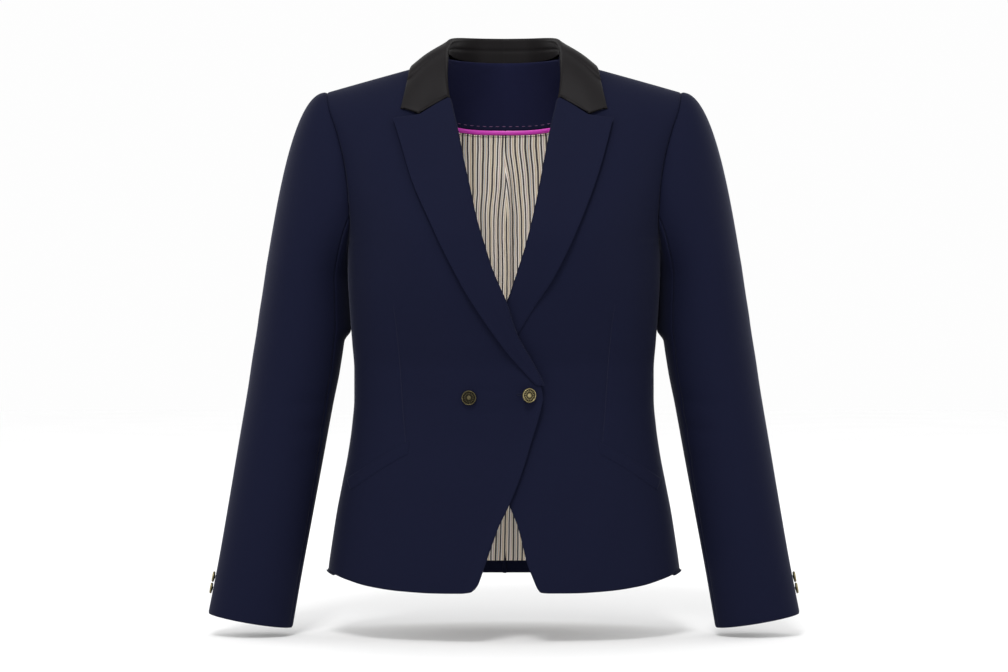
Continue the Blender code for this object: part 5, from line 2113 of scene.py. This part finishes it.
def weave_group() -> NodeTree:
    """The weave that all the cloths share: diagonal or square threads, fuzz and slow unevenness.

    Returns:
        The group: Threads, Lean and Fuzz in; Height, Thread and Drift out.
    """
    tree = bpy.data.node_groups.new("cloth_weave", "ShaderNodeTree")
    for label, value in (("Threads", 1600.0), ("Lean", 1.0), ("Fuzz", 0.4)):
        socket = tree.interface.new_socket(name=label, in_out="INPUT", socket_type="NodeSocketFloat")
        socket.default_value = value
    for label in ("Height", "Thread", "Drift"):
        tree.interface.new_socket(name=label, in_out="OUTPUT", socket_type="NodeSocketFloat")
    build = ShaderBuilder(tree)
    start, end = build.node("NodeGroupInput"), build.node("NodeGroupOutput")
    uv = build.node("ShaderNodeUVMap", uv_map="threads").outputs["UV"]
    parts = build.node("ShaderNodeSeparateXYZ", {"Vector": uv})
    u = build.math("MULTIPLY", parts.outputs["X"], start.outputs["Threads"])
    v = build.math("MULTIPLY", parts.outputs["Y"], start.outputs["Threads"])
    lean = build.math("MULTIPLY_ADD", v, start.outputs["Lean"], u)
    ribs = build.math("SINE", build.math("MULTIPLY", lean, 2 * math.pi))
    cross = build.math("SINE", build.math("MULTIPLY", v, 2 * math.pi * 1.5))
    weave = build.math("MULTIPLY_ADD", cross, 0.35, ribs)
    fuzz = build.noise(uv, 2600.0, 3.0)
    height = build.math("MULTIPLY_ADD", fuzz, start.outputs["Fuzz"], build.math("MULTIPLY", weave, 0.3))
    thread = build.math("MULTIPLY_ADD", ribs, 0.5, build.noise(uv, 900.0))
    build.feed(end, {"Height": height, "Thread": thread, "Drift": build.noise(uv, 16.0, 3.0)})
    return tree


def new_material(name: str) -> tuple[Material, ShaderBuilder, Node]:
    """A new node material, the builder that works in it and its Principled shader."""
    made = bpy.data.materials.new(name)
    made.use_nodes = True
    return made, ShaderBuilder(made.node_tree), made.node_tree.nodes["Principled BSDF"]


@dataclass(frozen=True)
class Suiting:
    """Fine navy twill, matt, with a faint bloom of fibre at its edges."""

    name: str = "navy_twill"
    base: Colour = colour(12, 15, 34)
    deep: Colour = colour(9, 11, 27)
    light: Colour = colour(17, 20, 42)
    threads: float = 1500.0
    bump: float = 0.22

    def material(self, weave: NodeTree) -> Material:
        """Builds the finish.

        Args:
            weave: The shared weave group.

        Returns:
            The material.
        """
        made, build, shader = new_material(self.name)
        cloth = build.cloth(weave, self.threads, 1.0, 0.6)
        threads = build.mix(build.math("MULTIPLY", cloth["Thread"], 0.8), self.deep, self.light)
        finish = {
            "Base Color": build.mix(cloth["Drift"], threads, self.base),
            "Roughness": 0.86,
            "Specular IOR Level": 0.075,
            "Sheen Weight": 0.07,
            "Sheen Roughness": 0.3,
            "Sheen Tint": colour(200, 205, 235),
            "Normal": build.bump(cloth["Height"], self.bump, 0.00025),
        }
        build.feed(shader, finish)
        return made


@dataclass(frozen=True)
class Satin:
    """A satin with a soft sheen, used for the collar, the piping and its thread."""

    name: str
    base: Colour
    light: Colour
    roughness: float
    gloss: float = 0.3
    bump: float = 0.12

    def material(self, weave: NodeTree) -> Material:
        """Builds the finish.

        Args:
            weave: The shared weave group.

        Returns:
            The material.
        """
        made, build, shader = new_material(self.name)
        cloth = build.cloth(weave, 2400.0, 0.25, 0.3)
        finish = {
            "Base Color": build.mix(cloth["Drift"], self.base, self.light),
            "Roughness": build.math("MULTIPLY_ADD", cloth["Drift"], 0.12, self.roughness - 0.06),
            "Specular IOR Level": self.gloss,
            "Normal": build.bump(cloth["Height"], self.bump, 0.0002),
        }
        build.feed(shader, finish)
        return made


@dataclass(frozen=True)
class StripedLining:
    """Smooth cream lining with fine uneven stripes along its threads."""

    name: str = "striped_lining"
    repeat: float = 0.0208
    phase: float = 40.03
    wander: float = 0.0034
    cream: Colour = colour(236, 226, 205)
    pale: Colour = colour(242, 236, 226)
    ink: Colour = colour(34, 28, 36)
    tan: Colour = colour(198, 168, 130)
    mauve: Colour = colour(186, 152, 150)
    sky: Colour = colour(168, 182, 200)

    def bands(self) -> list[tuple[float, Colour]]:
        """One repeat of the stripes, as widths in millimetres.

        Returns:
            (width, colour) in order.
        """
        c, p, i = self.cream, self.pale, self.ink
        return [
            (1.85, i), (1.1, c), (0.75, self.tan), (1.4, p),
            (1.6, i), (1.4, p), (0.7, self.mauve), (1.5, c),
            (1.9, i), (0.8, c), (0.6, self.sky), (0.4, c), (0.7, self.tan), (0.9, p),
            (1.7, i), (1.4, p), (0.75, self.tan), (1.35, c),
        ]  # fmt: skip

    def material(self, weave: NodeTree) -> Material:
        """Builds the finish.

        Args:
            weave: The shared weave group.

        Returns:
            The material.
        """
        made, build, shader = new_material(self.name)
        cloth = build.cloth(weave, 3000.0, 0.0, 0.3)
        uv = build.node("ShaderNodeUVMap", uv_map="threads")
        parts = build.node("ShaderNodeSeparateXYZ", {"Vector": uv.outputs["UV"]})
        wander = build.math("MULTIPLY", build.math("SUBTRACT", cloth["Drift"], 0.5), self.wander)
        across = build.math("ADD", parts.outputs["X"], wander)
        place = build.math("FRACT", build.math("MULTIPLY_ADD", across, 1 / self.repeat, self.phase))
        ramp = build.node("ShaderNodeValToRGB", {"Fac": place})
        ramp.color_ramp.interpolation = "CONSTANT"
        bands = self.bands()
        total = sum(width for width, _shade in bands)
        stops = ramp.color_ramp.elements
        at = 0.0
        for k, (width, tone) in enumerate(bands):
            stop = stops[0] if k == 0 else stops.new(at / total)
            stop.color = tone
            at += width
        stops.remove(stops[len(stops) - 1])
        slub = build.math("MULTIPLY", cloth["Thread"], 0.1)
        finish = {
            "Base Color": build.mix(slub, ramp.outputs["Color"], self.mauve),
            "Roughness": 0.5,
            "Sheen Weight": 0.1,
            "Normal": build.bump(cloth["Height"], 0.1, 0.0002),
        }
        build.feed(shader, finish)
        return made


@dataclass(frozen=True)
class AntiqueBrass:
    """Aged brass, dark in its hollows and worn bright on its high places; each button's wear is also scaled
    up or down as painted light.
    """

    name: str = "antique_brass"
    bright: Colour = colour(132, 122, 87)
    dark: Colour = colour(15, 13, 9)

    def material(self) -> Material:
        """Builds the finish.

        Returns:
            The material.
        """
        made, build, shader = new_material(self.name)
        here = build.node("ShaderNodeTexCoord").outputs["Object"]
        stain = build.noise(here, 420.0, 4.0)
        hammer = build.node("ShaderNodeTexVoronoi", {"Vector": here, "Scale": 900.0})
        # The worn attribute is hollow patina, scaled per button as painted light.
        worn = build.node("ShaderNodeAttribute", attribute_name="worn").outputs["Fac"]
        share = build.math("MULTIPLY", worn, build.math("MULTIPLY_ADD", stain, 0.9, 0.5))
        share = build.math("MINIMUM", share, 1.0)
        finish = {
            "Base Color": build.mix(share, self.dark, self.bright),
            "Roughness": build.math("MULTIPLY_ADD", share, -0.18, 0.46),
            "Metallic": 0.92,
            "Normal": build.bump(hammer.outputs["Distance"], 0.3, 0.0003),
        }
        build.feed(shader, finish)
        return made


@dataclass
class Studio:
    """Plain pale floor, soft light and the camera of the photograph."""

    distance: float = 3.0
    height: float = -0.3174
    lens: float = 94.0
    sensor: float = 36.0
    floor_z: float = -0.656
    floor_half: float = 9.0
    air: float = 0.985

    def paper(self) -> Material:
        """The floor's pale finish, painted darker near the jacket as painted shade that evens out the lamps'
        pool of light, and glowing faintly as painted light.

        Returns:
            The material.
        """
        made, build, shader = new_material("studio_paper")
        here = build.node("ShaderNodeTexCoord").outputs["Object"]
        away = build.node("ShaderNodeVectorMath", operation="LENGTH")
        build.put(away.inputs[0], here)
        fibre = build.mix(build.noise(here, 3.0), colour(232, 232, 232), colour(238, 238, 238))
        # Painted shade: darker grey under the jacket, paling to plain paper 3.4 m away, so that the lamps'
        # pool of light looks even.
        share = build.math("DIVIDE", away.outputs["Value"], 3.4)
        finish = {
            "Base Color": build.mix(share, colour(203, 203, 203), fibre),
            "Roughness": 0.9,
            # Painted light: the floor glows faintly, though it is no lamp.
            "Emission Color": WHITE,
            "Emission Strength": 0.14,
        }
        build.feed(shader, finish)
        return made

    def floor(self) -> None:
        """A wide pale floor, just below the cuffs."""
        far = self.floor_half
        corners = ((-far, -far), (far, -far), (far, far), (-far, far))
        mesh = bpy.data.meshes.new("studio_floor")
        mesh.from_pydata([(x, y, self.floor_z) for x, y in corners], [], [(0, 1, 2, 3)])
        mesh.materials.append(self.paper())
        in_scene("studio_floor", mesh)

    def lamp(self, name: str, place: tuple[float, float, float], size: float, power: float) -> None:
        """A soft square light that faces the jacket.

        Args:
            name: The light's name.
            place: Where it stands.
            size: Its side, in metres.
            power: In watts.
        """
        data = bpy.data.lights.new(name, "AREA")
        data.size, data.energy = size, power
        made = in_scene(name, data)
        away = np.array(place) - np.array([0.0, 0.0, self.height])
        yaw = math.atan2(away[1], away[0]) + math.pi / 2
        pitch = math.atan2(math.hypot(away[0], away[1]), away[2])
        made.rotation_euler = (pitch, 0.0, yaw)
        made.location = place

    def build(self) -> None:
        """Sets the camera, the lights, the world and the floor."""
        data = bpy.data.cameras.new("photo_camera")
        data.lens, data.sensor_width = self.lens, self.sensor
        camera = in_scene("photo_camera", data)
        camera.location = (0.0, -self.distance, self.height)
        camera.rotation_euler = (math.pi / 2, 0.0, 0.0)
        world = bpy.data.worlds.new("studio_air")
        world.use_nodes = True
        NodeBuilder(world.node_tree).feed(
            world.node_tree.nodes["Background"], {"Color": WHITE, "Strength": self.air}
        )
        scene = bpy.context.scene
        scene.camera, scene.world = camera, world
        scene.view_settings.view_transform = "Standard"
        self.lamp("key_light", (-0.4, -2.3, 2.5), 0.9, 82.0)
        self.lamp("front_left_light", (-2.2, -2.7, 0.3), 1.6, 11.0)
        self.lamp("front_right_light", (2.3, -2.6, 0.2), 1.6, 9.0)
        self.lamp("camera_light", (0.0, -3.7, 0.2), 1.0, 8.0)
        self.lamp("left_rim_light", (-2.5, 1.5, 0.5), 1.4, 30.0)
        self.lamp("right_rim_light", (2.5, 1.5, 0.5), 1.4, 30.0)
        self.floor()


def main() -> None:
    """Builds the jacket piece by piece, in the order that a maker sews it."""
    logging.basicConfig(level=logging.INFO, format="%(name)s: %(message)s")
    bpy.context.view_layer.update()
    weave = weave_group()
    navy = Suiting().material(weave)
    # Painted light: the neck facing gets a lighter copy of the navy twill, standing in for light reaching the
    # shaded inside of the neck.
    painted_light_facing_shades = (colour(28, 30, 57), colour(22, 24, 47), colour(34, 36, 65))
    painted_light_facing_navy = Suiting("navy_facing", *painted_light_facing_shades).material(weave)
    black = Satin("collar_satin", colour(14, 12, 13), colour(22, 20, 21), 0.54, 0.08).material(weave)
    magenta = Satin("piping_satin", colour(196, 38, 168), colour(226, 76, 204), 0.36, 0.4).material(weave)
    mauve = Satin("mauve_thread", colour(104, 70, 108), colour(134, 96, 134), 0.6).material(weave)
    thread = Satin("navy_thread", colour(14, 15, 30), colour(24, 26, 46), 0.7, 0.1).material(weave)
    stripes = StripedLining().material(weave)
    brass = AntiqueBrass().material()

    form = BlazerForm()
    backs = BackPanels(form)
    sleeves = Sleeves(form)
    inside = Inside(form, backs)
    FrontPanels(form).build(navy)
    backs.build(navy)
    sleeves.build(navy)
    Lapels(form).build(navy)
    Collar(form).build(black)
    inside.build(painted_light_facing_navy, stripes, magenta)
    Pockets(form).build(navy)
    Buttons(form, sleeves).build(brass)
    Stitching(form, inside).build(mauve, thread)
    Studio().build()


if __name__ == "__main__":
    main()
